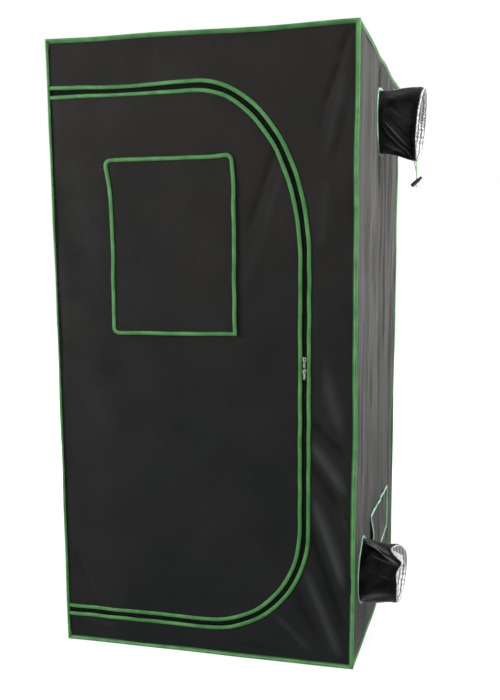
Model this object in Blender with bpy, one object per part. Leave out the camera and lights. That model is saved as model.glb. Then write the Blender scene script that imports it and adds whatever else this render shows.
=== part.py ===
"""Indoor grow tent: a push-fit steel pole frame inside a sewn fabric cover with a zipped door.

Metres, +Z up. The origin is on the ground under the middle of the tent, and the front faces -Y.
Sizes of the cover are taken over its fabric walls. Touching pieces keep the gap FIT.
"""
import math
from dataclasses import dataclass

import bmesh
import bpy
import numpy as np
from mathutils import Matrix, Vector

# Overall size
WIDTH = 1.0
DEPTH = 1.0
HEIGHT = 2.0
FIT = 0.0003
OVERRUN = 0.002
WELD_SHARE = 0.01

# Cover fabric and the piping along its edges
FABRIC = 0.001
EDGE_PIPING = 0.010
TRIM_WIDTH = 0.013
TRIM_HEIGHT = 0.003
TRIM_EDGE = 0.0012

# Pole frame
POLE_RADIUS = 0.008
POLE_WALL = 0.001
SWAGE_LENGTH = 0.060
SWAGE_FIT = 0.0003
SOCKET_WALL = 0.0019
SOCKET_LIP = 0.0008
SOCKET_LIP_LENGTH = 0.006
SOCKET_DEPTH = 0.038
SOCKET_FIT = 0.0003
CORNER_CORE = 0.0125
ROOF_BAR_SETBACKS = {"roof_bar_front": 0.33, "roof_bar_back": 0.60}
ROOF_HOOK_WIDTH = 0.024
ROOF_HOOK_WALL = 0.0022
ROOF_HOOK_LEG = 0.004
TRAY_WALL = 0.001
TRAY_RIM = 0.050

# Zipped door in the front panel, from the tent's edges to the middle of the zip
DOOR_TOP_MARGIN = 0.165
DOOR_RIGHT_MARGIN = 0.160
DOOR_BOTTOM_MARGIN = 0.109
DOOR_TOP_CORNER = (0.340, 0.527)
DOOR_BOTTOM_CORNER = (0.320, 0.341)
DOOR_TRIM_SPACING = 0.028
DOOR_CLOTH_GAP = 0.018
ZIP_TAPE = 0.0006
ZIP_TAPE_REACH = 0.018
ZIP_CHAIN_WIDTH = 0.0020
ZIP_CHAIN_HEIGHT = 0.0026
ZIP_MESH_GAP = 0.0018

# Zip sliders and their pulls
SLIDER_LENGTH = 0.016
SLIDER_WIDTH = 0.011
SLIDER_WAIST = 0.008
SLIDER_PLATE = 0.0016
SLIDER_POST_LENGTH = 0.005
SLIDER_DROPS = {"upper": 0.834, "lower": 0.871}
BRIDGE_INNER = 0.0014
BRIDGE_OUTER = 0.0029
BRIDGE_RISE = 0.0020
BRIDGE_WIDTH = 0.0025
PULL_LENGTH = 0.026
PULL_WIDTH = 0.0072
PULL_THICKNESS = 0.0012
PULL_BAR = 0.0016
PULL_EYE_REACH = 0.0048
PULL_HOLE = 0.0014

# Window in the door: the outline is that of the flap's trim, along its middle
WINDOW_WIDTH = 0.410
WINDOW_HEIGHT = 0.547
WINDOW_DROP = 0.213
WINDOW_SIDE_MARGIN = 0.205
WINDOW_CORNER = 0.018
WINDOW_OVERLAP = 0.025
PANE = 0.0005
PANE_SEAM = 0.012

# Duct ports and their sleeves in the right wall
PORT_RADIUS = 0.105
PORT_LEDGE = 0.002
UPPER_PORT_DROP = 0.215
UPPER_PORT_PLACE = 0.0
LOWER_PORT_HEIGHT = 0.269
LOWER_PORT_SETBACK = 0.190
LINING = 0.0005
LINING_GAP = 0.0006
HEM_THICKNESS = 0.0015
SLEEVE_COLLAR = 0.005
SLEEVE_STATION_SHARES = (0.0, 0.14, 0.28, 0.42, 0.56, 0.70, 0.82, 0.88, 1.0)
HEM_START_SHARE = 0.85
FOLD_FULL_SHARE = 0.9


@dataclass
class Fold:
    """A soft ridge along a sleeve, or a groove where its height is below zero.

    It runs from one angle at the wall to another at the mouth, in degrees from the tent's back.
    """

    start: float
    end: float
    height: float
    spread: float


@dataclass
class Sleeve:
    """A cloth sleeve's hang: its mouth's shares of the port's radius begin at the tent's back."""

    length: float
    lean: float
    skew: float
    drop: float
    mouth_shares: tuple
    folds: tuple


SLEEVES = {
    "upper": Sleeve(
        length=0.135, lean=0.009, skew=0.005, drop=0.012,
        mouth_shares=(0.83, 0.98, 1.14, 0.98, 0.84, 0.96, 1.15, 0.96),
        folds=(
            Fold(start=186, end=252, height=0.006, spread=11),
            Fold(start=205, end=268, height=-0.005, spread=10),
            Fold(start=330, end=300, height=0.003, spread=16),
        ),
    ),
    "lower": Sleeve(
        length=0.128, lean=0.006, skew=0.003, drop=0.002,
        mouth_shares=(1.00, 0.93, 0.78, 1.10, 1.02, 1.00, 0.91, 0.98),
        folds=(
            Fold(start=96, end=146, height=0.008, spread=12),
            Fold(start=80, end=112, height=-0.009, spread=15),
            Fold(start=228, end=214, height=-0.003, spread=12),
        ),
    ),
}

# Mesh vent and its flap, low in the right wall: the outline is that of the trim, along its middle,
# and it runs from near the lower port to near the back edge
VENT_PORT_SPACING = 0.190
VENT_HEIGHT = 0.170
VENT_BACK_MARGIN = 0.155
VENT_BASE = 0.230
VENT_CORNER = 0.012
VENT_OVERLAP = 0.020
VENT_TRIM_WIDTH = 0.009
VENT_SCREEN = 0.0005
VENT_SCREEN_SEAM = 0.010

# Drawcord of the upper sleeve, hanging in two strands with a cord lock on them. Each route starts under
# the hem, a few degrees from its lowest place, and its points are taken from that lowest place.
CORD_DIAMETER = 0.003
EYE_SHARE = 0.97
HEM_LOW_ANGLE = 270
STRAND_ANGLE = 11.25
STRAND_LEAN = 0.0067
STRAND_OFFSET = 0.0017
STRAND_LENGTH = 0.081
CORD_ROUTES = {
    "drawcord_front": (
        (0.0012, -0.0205, -0.0120), (0.0035, -0.0120, -0.0250), (0.0058, -0.0040, -0.0370),
        (STRAND_LEAN, -STRAND_OFFSET, -0.0450), (STRAND_LEAN, -STRAND_OFFSET, -STRAND_LENGTH),
    ),
    "drawcord_back": (
        (0.0030, 0.0205, -0.0120), (0.0048, 0.0120, -0.0250), (0.0063, 0.0040, -0.0370),
        (STRAND_LEAN, STRAND_OFFSET, -0.0450), (STRAND_LEAN, STRAND_OFFSET, -STRAND_LENGTH),
    ),
}
KNOT_RADIUS = 0.0042
LOCK_DROP = 0.0703
LOCK_CROSSING = 0.023
LOCK_TILT = math.radians(41)
LOCK_RADIUS = 0.00675
LOCK_LENGTH = 0.034
LOCK_FLOOR = 0.006
LOCK_BORE = 0.0051
LOCK_ROUNDING = 0.0015
LOCK_SLOT_ROOM = 0.0006
BUTTON_RADIUS = 0.0048
BUTTON_TRAVEL = 0.004
BUTTON_PROUD = 0.012

# Counts of sides and steps, which set how round things are drawn
POLE_SIDES = 16
CORNER_SIDES = 12
PORT_SIDES = 32
LOCK_SIDES = 20
TOP_CORNER_STEPS = 20
BOTTOM_CORNER_STEPS = 14
ROUNDING_STEPS = 3
CORD_SIDES_RESOLUTION = 2
CORD_POINT_SPACING = 2.5

# Places worked out from the sizes above
PIPING_RADIUS = EDGE_PIPING / 2
PIPING_FLAT = PIPING_RADIUS * math.tan(math.pi / 8)
WALL_X = WIDTH / 2
WALL_Y = DEPTH / 2
PANEL_X = WALL_X - PIPING_RADIUS - FIT
PANEL_Y = WALL_Y - PIPING_RADIUS - FIT
WALL_LOW = EDGE_PIPING + FIT
WALL_HIGH = HEIGHT - EDGE_PIPING - FIT
ROOF_Z = HEIGHT - PIPING_RADIUS
FLOOR_INSET = PIPING_FLAT + FABRIC + FIT
SOCKET_RADIUS = POLE_RADIUS + SOCKET_FIT + SOCKET_WALL
LIP_RADIUS = SOCKET_RADIUS + SOCKET_LIP
BASE_Z = FABRIC + FIT + LIP_RADIUS
POLE_TO_PIPING = LIP_RADIUS + FIT + PIPING_RADIUS / math.cos(math.pi / 8)
POLE_SETBACK = math.sqrt(POLE_TO_PIPING ** 2 - (BASE_Z - PIPING_RADIUS) ** 2)
POST_X = WALL_X - POLE_SETBACK
POST_Y = WALL_Y - POLE_SETBACK
TOP_Z = ROOF_Z - FABRIC - FIT - LIP_RADIUS
POLE_START = CORNER_CORE + FIT
SOCKET_REACH = CORNER_CORE + SOCKET_DEPTH
MID_Z = HEIGHT / 2
ZIP_TOP = HEIGHT - DOOR_TOP_MARGIN
ZIP_BOTTOM = DOOR_BOTTOM_MARGIN
ZIP_RIGHT = WALL_X - DOOR_RIGHT_MARGIN
ZIP_DEPTH = -FABRIC - FIT - ZIP_TAPE / 2
WINDOW_TOP = ZIP_TOP - WINDOW_DROP
WINDOW_LEFT = WINDOW_SIDE_MARGIN - WALL_X
FLAP_REACH = TRIM_WIDTH / 2
FLAP_TRIM_BACK = FIT + FABRIC + FIT
FLAP_FRONT = FLAP_TRIM_BACK + TRIM_HEIGHT
UPPER_PORT_Z = HEIGHT - UPPER_PORT_DROP
LOWER_PORT_Y = LOWER_PORT_SETBACK - WALL_Y
VENT_BACK = WALL_Y - VENT_BACK_MARGIN
VENT_FRONT = LOWER_PORT_Y + VENT_PORT_SPACING
VENT_TOP = VENT_BASE + VENT_HEIGHT
DOOR_AXIS = Vector((-PANEL_X, -WALL_Y - PIPING_RADIUS - FIT, (ZIP_TOP + ZIP_BOTTOM) / 2))
WINDOW_AXIS = Vector((WINDOW_LEFT + WINDOW_WIDTH / 2, -WALL_Y - FLAP_FRONT, WINDOW_TOP + FLAP_REACH))
VENT_AXIS = Vector((WALL_X + FLAP_FRONT, (VENT_FRONT + VENT_BACK) / 2, VENT_TOP + VENT_TRIM_WIDTH / 2))
LOCK_AXIS = Vector((math.cos(LOCK_TILT), 0, math.sin(LOCK_TILT)))
LOCK_SLOT_WIDTH = CORD_DIAMETER / 2 + LOCK_SLOT_ROOM
LOCK_SLOT_REACH = STRAND_OFFSET + CORD_DIAMETER / 2 + FIT

# Colours of the finishes, as base colour, roughness and metallic value
FINISHES = {
    "black_cloth": ((0.022, 0.022, 0.023), 0.78, 0.0),
    "green_piping": ((0.075, 0.340, 0.070), 0.62, 0.0),
    "silver_lining": ((0.72, 0.73, 0.75), 0.28, 0.9),
    "sleeve_cloth": ((0.012, 0.012, 0.013), 0.38, 0.0),
    "pole_enamel": ((0.80, 0.81, 0.82), 0.35, 0.3),
    "corner_plastic": ((0.030, 0.030, 0.032), 0.50, 0.0),
    "zip_tape": ((0.012, 0.013, 0.013), 0.70, 0.0),
    "zip_metal": ((0.52, 0.49, 0.40), 0.33, 1.0),
    "clear_vinyl": ((0.62, 0.66, 0.68), 0.10, 0.0),
    "screen_mesh": ((0.045, 0.045, 0.048), 0.70, 0.0),
    "green_cord": ((0.120, 0.520, 0.110), 0.70, 0.0),
    "lock_plastic": ((0.018, 0.018, 0.019), 0.42, 0.0),
}


class Plane:
    """A wall's outer face: u and v run along it, and n runs out of it."""

    def __init__(self, origin, u, v):
        self.origin = Vector(origin)
        self.u = Vector(u)
        self.v = Vector(v)
        self.n = self.u.cross(self.v)

    def at(self, u, v, n):
        return self.origin + self.u * u + self.v * v + self.n * n


FRONT = Plane((0, -WALL_Y, 0), (1, 0, 0), (0, 0, 1))
BACK = Plane((0, WALL_Y, 0), (-1, 0, 0), (0, 0, 1))
LEFT = Plane((-WALL_X, 0, 0), (0, -1, 0), (0, 0, 1))
RIGHT = Plane((WALL_X, 0, 0), (0, 1, 0), (0, 0, 1))
ROOF = Plane((0, 0, ROOF_Z), (1, 0, 0), (0, 1, 0))
GROUND = Plane((0, 0, 0), (1, 0, 0), (0, -1, 0))


# Scene, materials and objects


def clear_scene():
    for obj in list(bpy.data.objects):
        bpy.data.objects.remove(obj, do_unlink=True)


def make_material(node, finish):
    colour, roughness, metallic = FINISHES[finish]
    mat = bpy.data.materials.new(node + "_" + finish)
    mat.use_nodes = True
    shader = mat.node_tree.nodes["Principled BSDF"]
    shader.inputs["Base Color"].default_value = (*colour, 1)
    shader.inputs["Roughness"].default_value = roughness
    shader.inputs["Metallic"].default_value = metallic
    if finish == "clear_vinyl":
        shader.inputs["Alpha"].default_value = 0.35
    return mat


def link(obj, pivot, parent):
    """Puts an object's origin at pivot, in world space, below its parent empty."""
    bpy.context.collection.objects.link(obj)
    obj.parent = parent
    obj.location = pivot
    above = parent
    while above is not None:
        obj.location -= above.location
        above = above.parent


def add_pivot(name, place, parent=None):
    """An empty on a joint's axis, which carries the pieces that move with it."""
    pivot = bpy.data.objects.new(name, None)
    pivot.empty_display_size = POLE_RADIUS
    link(pivot, Vector(place), parent)
    return pivot


def world_place(pivot):
    place = Vector((0, 0, 0))
    while pivot is not None:
        place += pivot.location
        pivot = pivot.parent
    return place


def add_piece(name, bm, finish, parent=None, smooth_angle=math.radians(40)):
    """Makes one sub-part from a mesh in world coordinates, with outward faces."""
    bmesh.ops.remove_doubles(bm, verts=bm.verts, dist=FIT * WELD_SHARE)
    bmesh.ops.recalc_face_normals(bm, faces=bm.faces)
    pivot = world_place(parent)
    bmesh.ops.translate(bm, verts=bm.verts, vec=-pivot)
    mesh = bpy.data.meshes.new(name)
    bm.to_mesh(mesh)
    bm.free()
    mesh.shade_smooth()
    mesh.set_sharp_from_angle(angle=smooth_angle)
    mesh.materials.append(make_material(name, finish))
    obj = bpy.data.objects.new(name, mesh)
    link(obj, pivot, parent)
    return obj


# Shapes in a plane


def arc(centre, radii, start, end, steps):
    """Points on a round or oval arc, both ends included."""
    turns = np.linspace(math.radians(start), math.radians(end), steps + 1)
    return [(centre[0] + radii[0] * math.cos(a), centre[1] + radii[1] * math.sin(a)) for a in turns]


def rectangle(low, high):
    return [low, (high[0], low[1]), high, (low[0], high[1])]


def rounded_rectangle(low, high, radii):
    """A rectangle with one corner radius each for low left, low right, top right and top left."""
    corners = [
        (low, (1, 1), 180), ((high[0], low[1]), (-1, 1), 270),
        (high, (-1, -1), 0), ((low[0], high[1]), (1, -1), 90),
    ]
    points = []
    for (corner, inward, start), radius in zip(corners, radii):
        if radius == 0:
            points.append(corner)
            continue
        centre = (corner[0] + inward[0] * radius, corner[1] + inward[1] * radius)
        points += arc(centre, (radius, radius), start, start + 90, ROUNDING_STEPS)
    return points


def offset_path(points, distance, closed):
    """The path moved to its left by distance, with mitred corners."""
    points = [Vector(p) for p in points]
    count = len(points)
    moved = []
    for i, point in enumerate(points):
        before = points[i - 1] if closed or i > 0 else None
        after = points[(i + 1) % count] if closed or i < count - 1 else None
        along = [(b - a).normalized() for a, b in ((before, point), (point, after)) if a and b]
        normals = [Vector((-d.y, d.x)) for d in along]
        middle = sum(normals, Vector((0, 0))).normalized()
        moved.append(point + middle * (distance / middle.dot(normals[0])))
    return moved


def panel(plane, outline, near, far, holes=()):
    """A flat sheet with holes, from near to far along the plane's outward direction."""
    bm = bmesh.new()
    for loop in (outline, *holes):
        verts = [bm.verts.new(plane.at(u, v, near)) for u, v in loop]
        for a, b in zip(verts, verts[1:] + verts[:1]):
            bm.edges.new((a, b))
    bmesh.ops.triangle_fill(bm, edges=bm.edges, use_beauty=True)
    top = bmesh.ops.extrude_face_region(bm, geom=list(bm.faces))["geom"]
    moved = [item for item in top if isinstance(item, bmesh.types.BMVert)]
    bmesh.ops.translate(bm, verts=moved, vec=plane.n * (far - near))
    return bm


def sweep(plane, path, profile, closed=False):
    """A profile of (sideways, outward) points carried along a path in the plane."""
    bm = bmesh.new()
    lanes = [offset_path(path, side, closed) for side, _ in profile]
    rings = []
    for i in range(len(path)):
        rings.append([
            bm.verts.new(plane.at(lane[i].x, lane[i].y, out)) for lane, (_, out) in zip(lanes, profile)
        ])
    pairs = list(zip(rings, rings[1:]))
    if closed:
        pairs.append((rings[-1], rings[0]))
    for ring, following in pairs:
        join_rings(bm, ring, following)
    if not closed:
        bm.faces.new(rings[0])
        bm.faces.new(list(reversed(rings[-1])))
    return bm


def join_rings(bm, ring, following):
    """Faces between two rings of the same count, or between a ring and a single point."""
    count = max(len(ring), len(following))
    for i in range(count):
        corners = [ring[i % len(ring)], ring[(i + 1) % len(ring)]]
        corners += [following[(i + 1) % len(following)], following[i % len(following)]]
        unique = list(dict.fromkeys(corners))
        if len(unique) > 2:
            bm.faces.new(unique)


# Round and joined shapes


def turned(profile, start, axis, sides, closed=True):
    """A profile of (radius, along) points turned about an axis from start.

    A closed profile is a ring wall with a bore, and an open one begins and ends on the axis.
    """
    bm = bmesh.new()
    turn = Vector((0, 0, 1)).rotation_difference(Vector(axis)).to_matrix()
    rings = []
    for radius, along in profile:
        steps = sides if radius > 0 else 1
        ring = []
        for i in range(steps):
            angle = 2 * math.pi * (i + 0.5) / sides
            local = Vector((radius * math.cos(angle), radius * math.sin(angle), along))
            ring.append(bm.verts.new(Vector(start) + turn @ local))
        rings.append(ring)
    pairs = list(zip(rings, rings[1:]))
    if closed:
        pairs.append((rings[-1], rings[0]))
    for ring, following in pairs:
        join_rings(bm, ring, following)
    return bm


def cylinder(radius, start, end, sides):
    span = Vector(end) - Vector(start)
    profile = [(0, 0), (radius, 0), (radius, span.length), (0, span.length)]
    return turned(profile, start, span, sides, closed=False)


def box(low, high):
    bm = bmesh.new()
    bmesh.ops.create_cube(bm, size=1)
    size = Vector(high) - Vector(low)
    middle = (Vector(high) + Vector(low)) / 2
    bmesh.ops.transform(bm, verts=bm.verts, matrix=Matrix.Translation(middle) @ Matrix.Diagonal((*size, 1)))
    return bm


def combine(target, tool, operation):
    """The target with the tool joined on (UNION) or cut out (DIFFERENCE), as a new mesh."""
    operands = []
    for bm in (target, tool):
        bmesh.ops.recalc_face_normals(bm, faces=bm.faces)
        mesh = bpy.data.meshes.new("operand")
        bm.to_mesh(mesh)
        bm.free()
        operands.append(bpy.data.objects.new("operand", mesh))
        bpy.context.collection.objects.link(operands[-1])
    modifier = operands[0].modifiers.new("combine", "BOOLEAN")
    modifier.operation = operation
    modifier.solver = "EXACT"
    modifier.object = operands[1]
    result = bmesh.new()
    result.from_object(operands[0], bpy.context.evaluated_depsgraph_get())
    for obj in operands:
        mesh = obj.data
        bpy.data.objects.remove(obj, do_unlink=True)
        bpy.data.meshes.remove(mesh)
    return result


# Pole frame


def tube(start, end):
    """A plain length of pole."""
    span = Vector(end) - Vector(start)
    bore = POLE_RADIUS - POLE_WALL
    profile = [(POLE_RADIUS, 0), (POLE_RADIUS, span.length), (bore, span.length), (bore, 0)]
    return turned(profile, start, span, POLE_SIDES)


def upper_post(start, length):
    """The upper half of a corner post, whose swaged end goes down into the lower half."""
    bore = POLE_RADIUS - POLE_WALL
    swage = bore - SWAGE_FIT
    swage_bore = swage - POLE_WALL
    profile = [
        (swage, -SWAGE_LENGTH), (swage, 0), (POLE_RADIUS, 0), (POLE_RADIUS, length),
        (bore, length), (bore, POLE_WALL), (swage_bore, 0), (swage_bore, -SWAGE_LENGTH),
    ]
    return turned(profile, start, (0, 0, 1), POLE_SIDES)


def corner_mesh():
    """A three-way moulded corner at the origin, with its sockets along +X, +Y and +Z."""
    bm = bmesh.new()
    bmesh.ops.create_uvsphere(bm, u_segments=CORNER_SIDES, v_segments=CORNER_SIDES // 2, radius=LIP_RADIUS)
    lip_start = SOCKET_REACH - SOCKET_LIP_LENGTH
    outside = [
        (0, 0), (SOCKET_RADIUS, 0), (SOCKET_RADIUS, lip_start - SOCKET_LIP),
        (LIP_RADIUS, lip_start), (LIP_RADIUS, SOCKET_REACH), (0, SOCKET_REACH),
    ]
    directions = ((1, 0, 0), (0, 1, 0), (0, 0, 1))
    for direction in directions:
        bm = combine(bm, turned(outside, (0, 0, 0), direction, CORNER_SIDES, closed=False), "UNION")
    for direction in directions:
        axis = Vector(direction)
        bore = cylinder(
            POLE_RADIUS + SOCKET_FIT, axis * CORNER_CORE, axis * (SOCKET_REACH + OVERRUN), CORNER_SIDES
        )
        bm = combine(bm, bore, "DIFFERENCE")
    return bm


def build_frame():
    sides = {"left": -1, "right": 1}
    ends = {"front": -1, "back": 1}
    levels = {"base": BASE_Z, "roof": TOP_Z}
    for end, sy in ends.items():
        for side, sx in sides.items():
            foot = Vector((sx * POST_X, sy * POST_Y, BASE_Z + POLE_START))
            middle = Vector((sx * POST_X, sy * POST_Y, MID_Z))
            add_piece(f"post_lower_{end}_{side}", tube(foot, middle), "pole_enamel")
            upper_start = middle + Vector((0, 0, FIT))
            length = TOP_Z - POLE_START - upper_start.z
            add_piece(f"post_upper_{end}_{side}", upper_post(upper_start, length), "pole_enamel")
    for level, z in levels.items():
        reach_x = POST_X - POLE_START
        reach_y = POST_Y - POLE_START
        for end, sy in ends.items():
            rail = tube((-reach_x, sy * POST_Y, z), (reach_x, sy * POST_Y, z))
            add_piece(f"{level}_rail_{end}", rail, "pole_enamel")
        for side, sx in sides.items():
            rail = tube((sx * POST_X, -reach_y, z), (sx * POST_X, reach_y, z))
            add_piece(f"{level}_rail_{side}", rail, "pole_enamel")
    corner = corner_mesh()
    for level, z in levels.items():
        up = 1 if level == "base" else -1
        for end, sy in ends.items():
            for side, sx in sides.items():
                copy = corner.copy()
                flip = Matrix.Diagonal((-sx, -sy, up, 1))
                place = Matrix.Translation((sx * POST_X, sy * POST_Y, z))
                bmesh.ops.transform(copy, verts=copy.verts, matrix=place @ flip)
                add_piece(f"corner_{level}_{end}_{side}", copy, "corner_plastic")
    corner.free()


def roof_bar_mesh(y):
    """A bar across the tent whose hooked ends sit over the two side rails of the roof."""
    seat = POLE_RADIUS + FIT
    hook = seat + ROOF_HOOK_WALL
    bar_end = POST_X - seat - ROOF_HOOK_WALL / 2
    bm = cylinder(POLE_RADIUS, (-bar_end, y, TOP_Z), (bar_end, y, TOP_Z), POLE_SIDES)
    for side in (-1, 1):
        centre = (side * POST_X, 0)
        outline = arc(centre, (hook, hook), 0, 180, POLE_SIDES // 2)
        inside = arc(centre, (seat, seat), 180, 0, POLE_SIDES // 2)
        legs = [ROOF_HOOK_LEG, POLE_RADIUS]
        if side < 0:
            legs.reverse()
        outline += [(centre[0] - hook, -legs[1]), (centre[0] - seat, -legs[1])]
        outline += inside + [(centre[0] + seat, -legs[0]), (centre[0] + hook, -legs[0])]
        across = Plane((0, y, TOP_Z), (1, 0, 0), (0, 0, 1))
        hook_end = panel(across, outline, -ROOF_HOOK_WIDTH / 2, ROOF_HOOK_WIDTH / 2)
        bm = combine(bm, hook_end, "UNION")
    bore_end = POST_X - seat + FIT
    bore = cylinder(POLE_RADIUS - POLE_WALL, (-bore_end, y, TOP_Z), (bore_end, y, TOP_Z), POLE_SIDES)
    return combine(bm, bore, "DIFFERENCE")


def build_roof_bars():
    for name, setback in ROOF_BAR_SETBACKS.items():
        y = setback - WALL_Y
        pivot = add_pivot(name + "_slide", (0, y, TOP_Z))
        add_piece(name, roof_bar_mesh(y), "pole_enamel", pivot)


def build_tray():
    """The loose waterproof tray, which lies inside the base rails."""
    half_x = POST_X - LIP_RADIUS - FIT
    half_y = POST_Y - LIP_RADIUS - FIT
    low = FABRIC + FIT
    outer = box((-half_x, -half_y, low), (half_x, half_y, low + TRAY_RIM))
    inner = box(
        (-half_x + TRAY_WALL, -half_y + TRAY_WALL, low + TRAY_WALL),
        (half_x - TRAY_WALL, half_y - TRAY_WALL, low + TRAY_RIM + OVERRUN),
    )
    pivot = add_pivot("floor_tray_lift", (0, 0, low))
    add_piece("floor_tray", combine(outer, inner, "DIFFERENCE"), "silver_lining", pivot)


# Cover


def octagon():
    """The edge piping's section, eight flats about its middle."""
    corner = PIPING_FLAT
    reach = PIPING_RADIUS
    return [
        (reach, -corner), (reach, corner), (corner, reach), (-corner, reach),
        (-reach, corner), (-reach, -corner), (-corner, -reach), (corner, -reach),
    ]


def edge_piping_mesh():
    """The piping sewn into all twelve edges of the cover."""
    low = (-WALL_X, PIPING_RADIUS)
    high = (WALL_X, HEIGHT - PIPING_RADIUS)
    loop = rectangle(low, high)
    bm = sweep(FRONT, loop, octagon(), closed=True)
    bm = combine(bm, sweep(BACK, loop, octagon(), closed=True), "UNION")
    for x in (low[0], high[0]):
        for z in (low[1], high[1]):
            edge = Plane((x, 0, z), (1, 0, 0), (0, 0, 1))
            strip = panel(edge, octagon(), -WALL_Y, WALL_Y)
            bm = combine(bm, strip, "UNION")
    return bm


def trim_profile(back, width=TRIM_WIDTH):
    """A folded strip of binding lying on the cloth, with its edges turned down."""
    half = width / 2
    return [
        (-half, back), (-half, back + TRIM_EDGE), (-half + TRIM_EDGE, back + TRIM_HEIGHT),
        (half - TRIM_EDGE, back + TRIM_HEIGHT), (half, back + TRIM_EDGE), (half, back),
    ]


def door_path(offset):
    """The zip's line round the door from its top left end to its bottom left one, moved out by offset."""
    top = DOOR_TOP_CORNER
    bottom = DOOR_BOTTOM_CORNER
    line = [(-PANEL_X, ZIP_TOP)]
    line += arc((ZIP_RIGHT - top[0], ZIP_TOP - top[1]), top, 90, 0, TOP_CORNER_STEPS)
    line += arc((ZIP_RIGHT - bottom[0], ZIP_BOTTOM + bottom[1]), bottom, 0, -90, BOTTOM_CORNER_STEPS)
    line.append((-PANEL_X, ZIP_BOTTOM))
    return [tuple(p) for p in offset_path(line, offset, closed=False)]


def circle(centre, radius):
    return arc(centre, (radius, radius), 0, 360, PORT_SIDES)[:-1]


def build_cover():
    wall_z = (WALL_LOW, WALL_HIGH)
    across = rectangle((-PANEL_X, wall_z[0]), (PANEL_X, wall_z[1]))
    along = rectangle((-PANEL_Y, wall_z[0]), (PANEL_Y, wall_z[1]))
    add_piece("back_wall", panel(BACK, across, -FABRIC, 0), "black_cloth")
    add_piece("left_wall", panel(LEFT, along, -FABRIC, 0), "black_cloth")
    roof = rectangle((-PANEL_X, -PANEL_Y), (PANEL_X, PANEL_Y))
    add_piece("roof_skin", panel(ROOF, roof, -FABRIC, 0), "black_cloth")
    floor = rectangle(
        (-WALL_X + FLOOR_INSET, -WALL_Y + FLOOR_INSET), (WALL_X - FLOOR_INSET, WALL_Y - FLOOR_INSET)
    )
    add_piece("floor_skin", panel(GROUND, floor, -FABRIC, 0), "black_cloth")
    add_piece("edge_piping", edge_piping_mesh(), "green_piping")
    ports = [
        circle((UPPER_PORT_PLACE, UPPER_PORT_Z), PORT_RADIUS - PORT_LEDGE),
        circle((LOWER_PORT_Y, LOWER_PORT_HEIGHT), PORT_RADIUS - PORT_LEDGE),
        vent_outline(-VENT_OVERLAP),
    ]
    add_piece("right_wall", panel(RIGHT, along, -FABRIC, 0, ports), "black_cloth")
    doorway = door_path(DOOR_CLOTH_GAP / 2)
    around = doorway + [
        (-PANEL_X, wall_z[0]), (PANEL_X, wall_z[0]), (PANEL_X, wall_z[1]), (-PANEL_X, wall_z[1]),
    ]
    add_piece("front_panel", panel(FRONT, around, -FABRIC, 0), "black_cloth")
    outer_line = door_path(DOOR_TRIM_SPACING / 2)
    add_piece("doorway_piping", sweep(FRONT, outer_line, trim_profile(FIT)), "green_piping")
    add_piece("zip_outer_half", sweep(FRONT, door_path(0), zip_profile(1)), "zip_tape")


def zip_profile(side):
    """One half of the zip: its tape behind the cloth, and its row of teeth as one bead."""
    start = ZIP_MESH_GAP / 2
    chain = start + ZIP_CHAIN_WIDTH
    tape = (ZIP_DEPTH - ZIP_TAPE / 2, ZIP_DEPTH + ZIP_TAPE / 2)
    bead = (ZIP_DEPTH - ZIP_CHAIN_HEIGHT / 2, ZIP_DEPTH + ZIP_CHAIN_HEIGHT / 2)
    profile = [
        (start, bead[0]), (chain, bead[0]), (chain, tape[0]), (ZIP_TAPE_REACH, tape[0]),
        (ZIP_TAPE_REACH, tape[1]), (chain, tape[1]), (chain, bead[1]), (start, bead[1]),
    ]
    return [(side * s, n) for s, n in profile]


# Door, its window and its zip sliders


def window_outline(grow, corners):
    low = (WINDOW_LEFT - grow, WINDOW_TOP - WINDOW_HEIGHT - grow)
    high = (WINDOW_LEFT + WINDOW_WIDTH + grow, WINDOW_TOP + grow)
    return rounded_rectangle(low, high, corners)


def build_door():
    door = add_pivot("door_hinge", DOOR_AXIS)
    radius = WINDOW_CORNER
    hole = window_outline(-WINDOW_OVERLAP, (radius, radius, radius, radius))
    leaf = door_path(-DOOR_CLOTH_GAP / 2)
    add_piece("door_leaf", panel(FRONT, leaf, -FABRIC, 0, [hole]), "black_cloth", door)
    inner_line = door_path(-DOOR_TRIM_SPACING / 2)
    add_piece("door_leaf_piping", sweep(FRONT, inner_line, trim_profile(FIT)), "green_piping", door)
    add_piece("zip_inner_half", sweep(FRONT, door_path(0), zip_profile(-1)), "zip_tape", door)
    seam = PANE_SEAM - WINDOW_OVERLAP
    pane = window_outline(seam, (radius, radius, radius, radius))
    add_piece("window_pane", panel(FRONT, pane, -FABRIC - FIT - PANE, -FABRIC - FIT), "clear_vinyl", door)
    flap = add_pivot("window_flap_hinge", WINDOW_AXIS, door)
    corners = (radius, 0, radius, radius)
    cloth = window_outline(FLAP_REACH - TRIM_EDGE, corners)
    add_piece("window_flap", panel(FRONT, cloth, FIT, FIT + FABRIC), "black_cloth", flap)
    trim = sweep(FRONT, window_outline(0, corners), trim_profile(FLAP_TRIM_BACK), closed=True)
    add_piece("window_flap_piping", trim, "green_piping", flap)
    for level, drop in SLIDER_DROPS.items():
        build_slider(level, ZIP_TOP - drop, door)


def slider_outline(z):
    """The slider's plate: wide at its nose, and drawn in at its tail."""
    half = SLIDER_LENGTH / 2
    waist = SLIDER_WAIST / 2
    wide = SLIDER_WIDTH / 2
    shares = [(waist, -1.0), (wide, -0.35), (wide, 0.55), (waist, 1.0)]
    right = [(ZIP_RIGHT + x, z + half * share) for x, share in shares]
    left = [(ZIP_RIGHT - x, z + half * share) for x, share in reversed(shares)]
    return right + left


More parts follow.
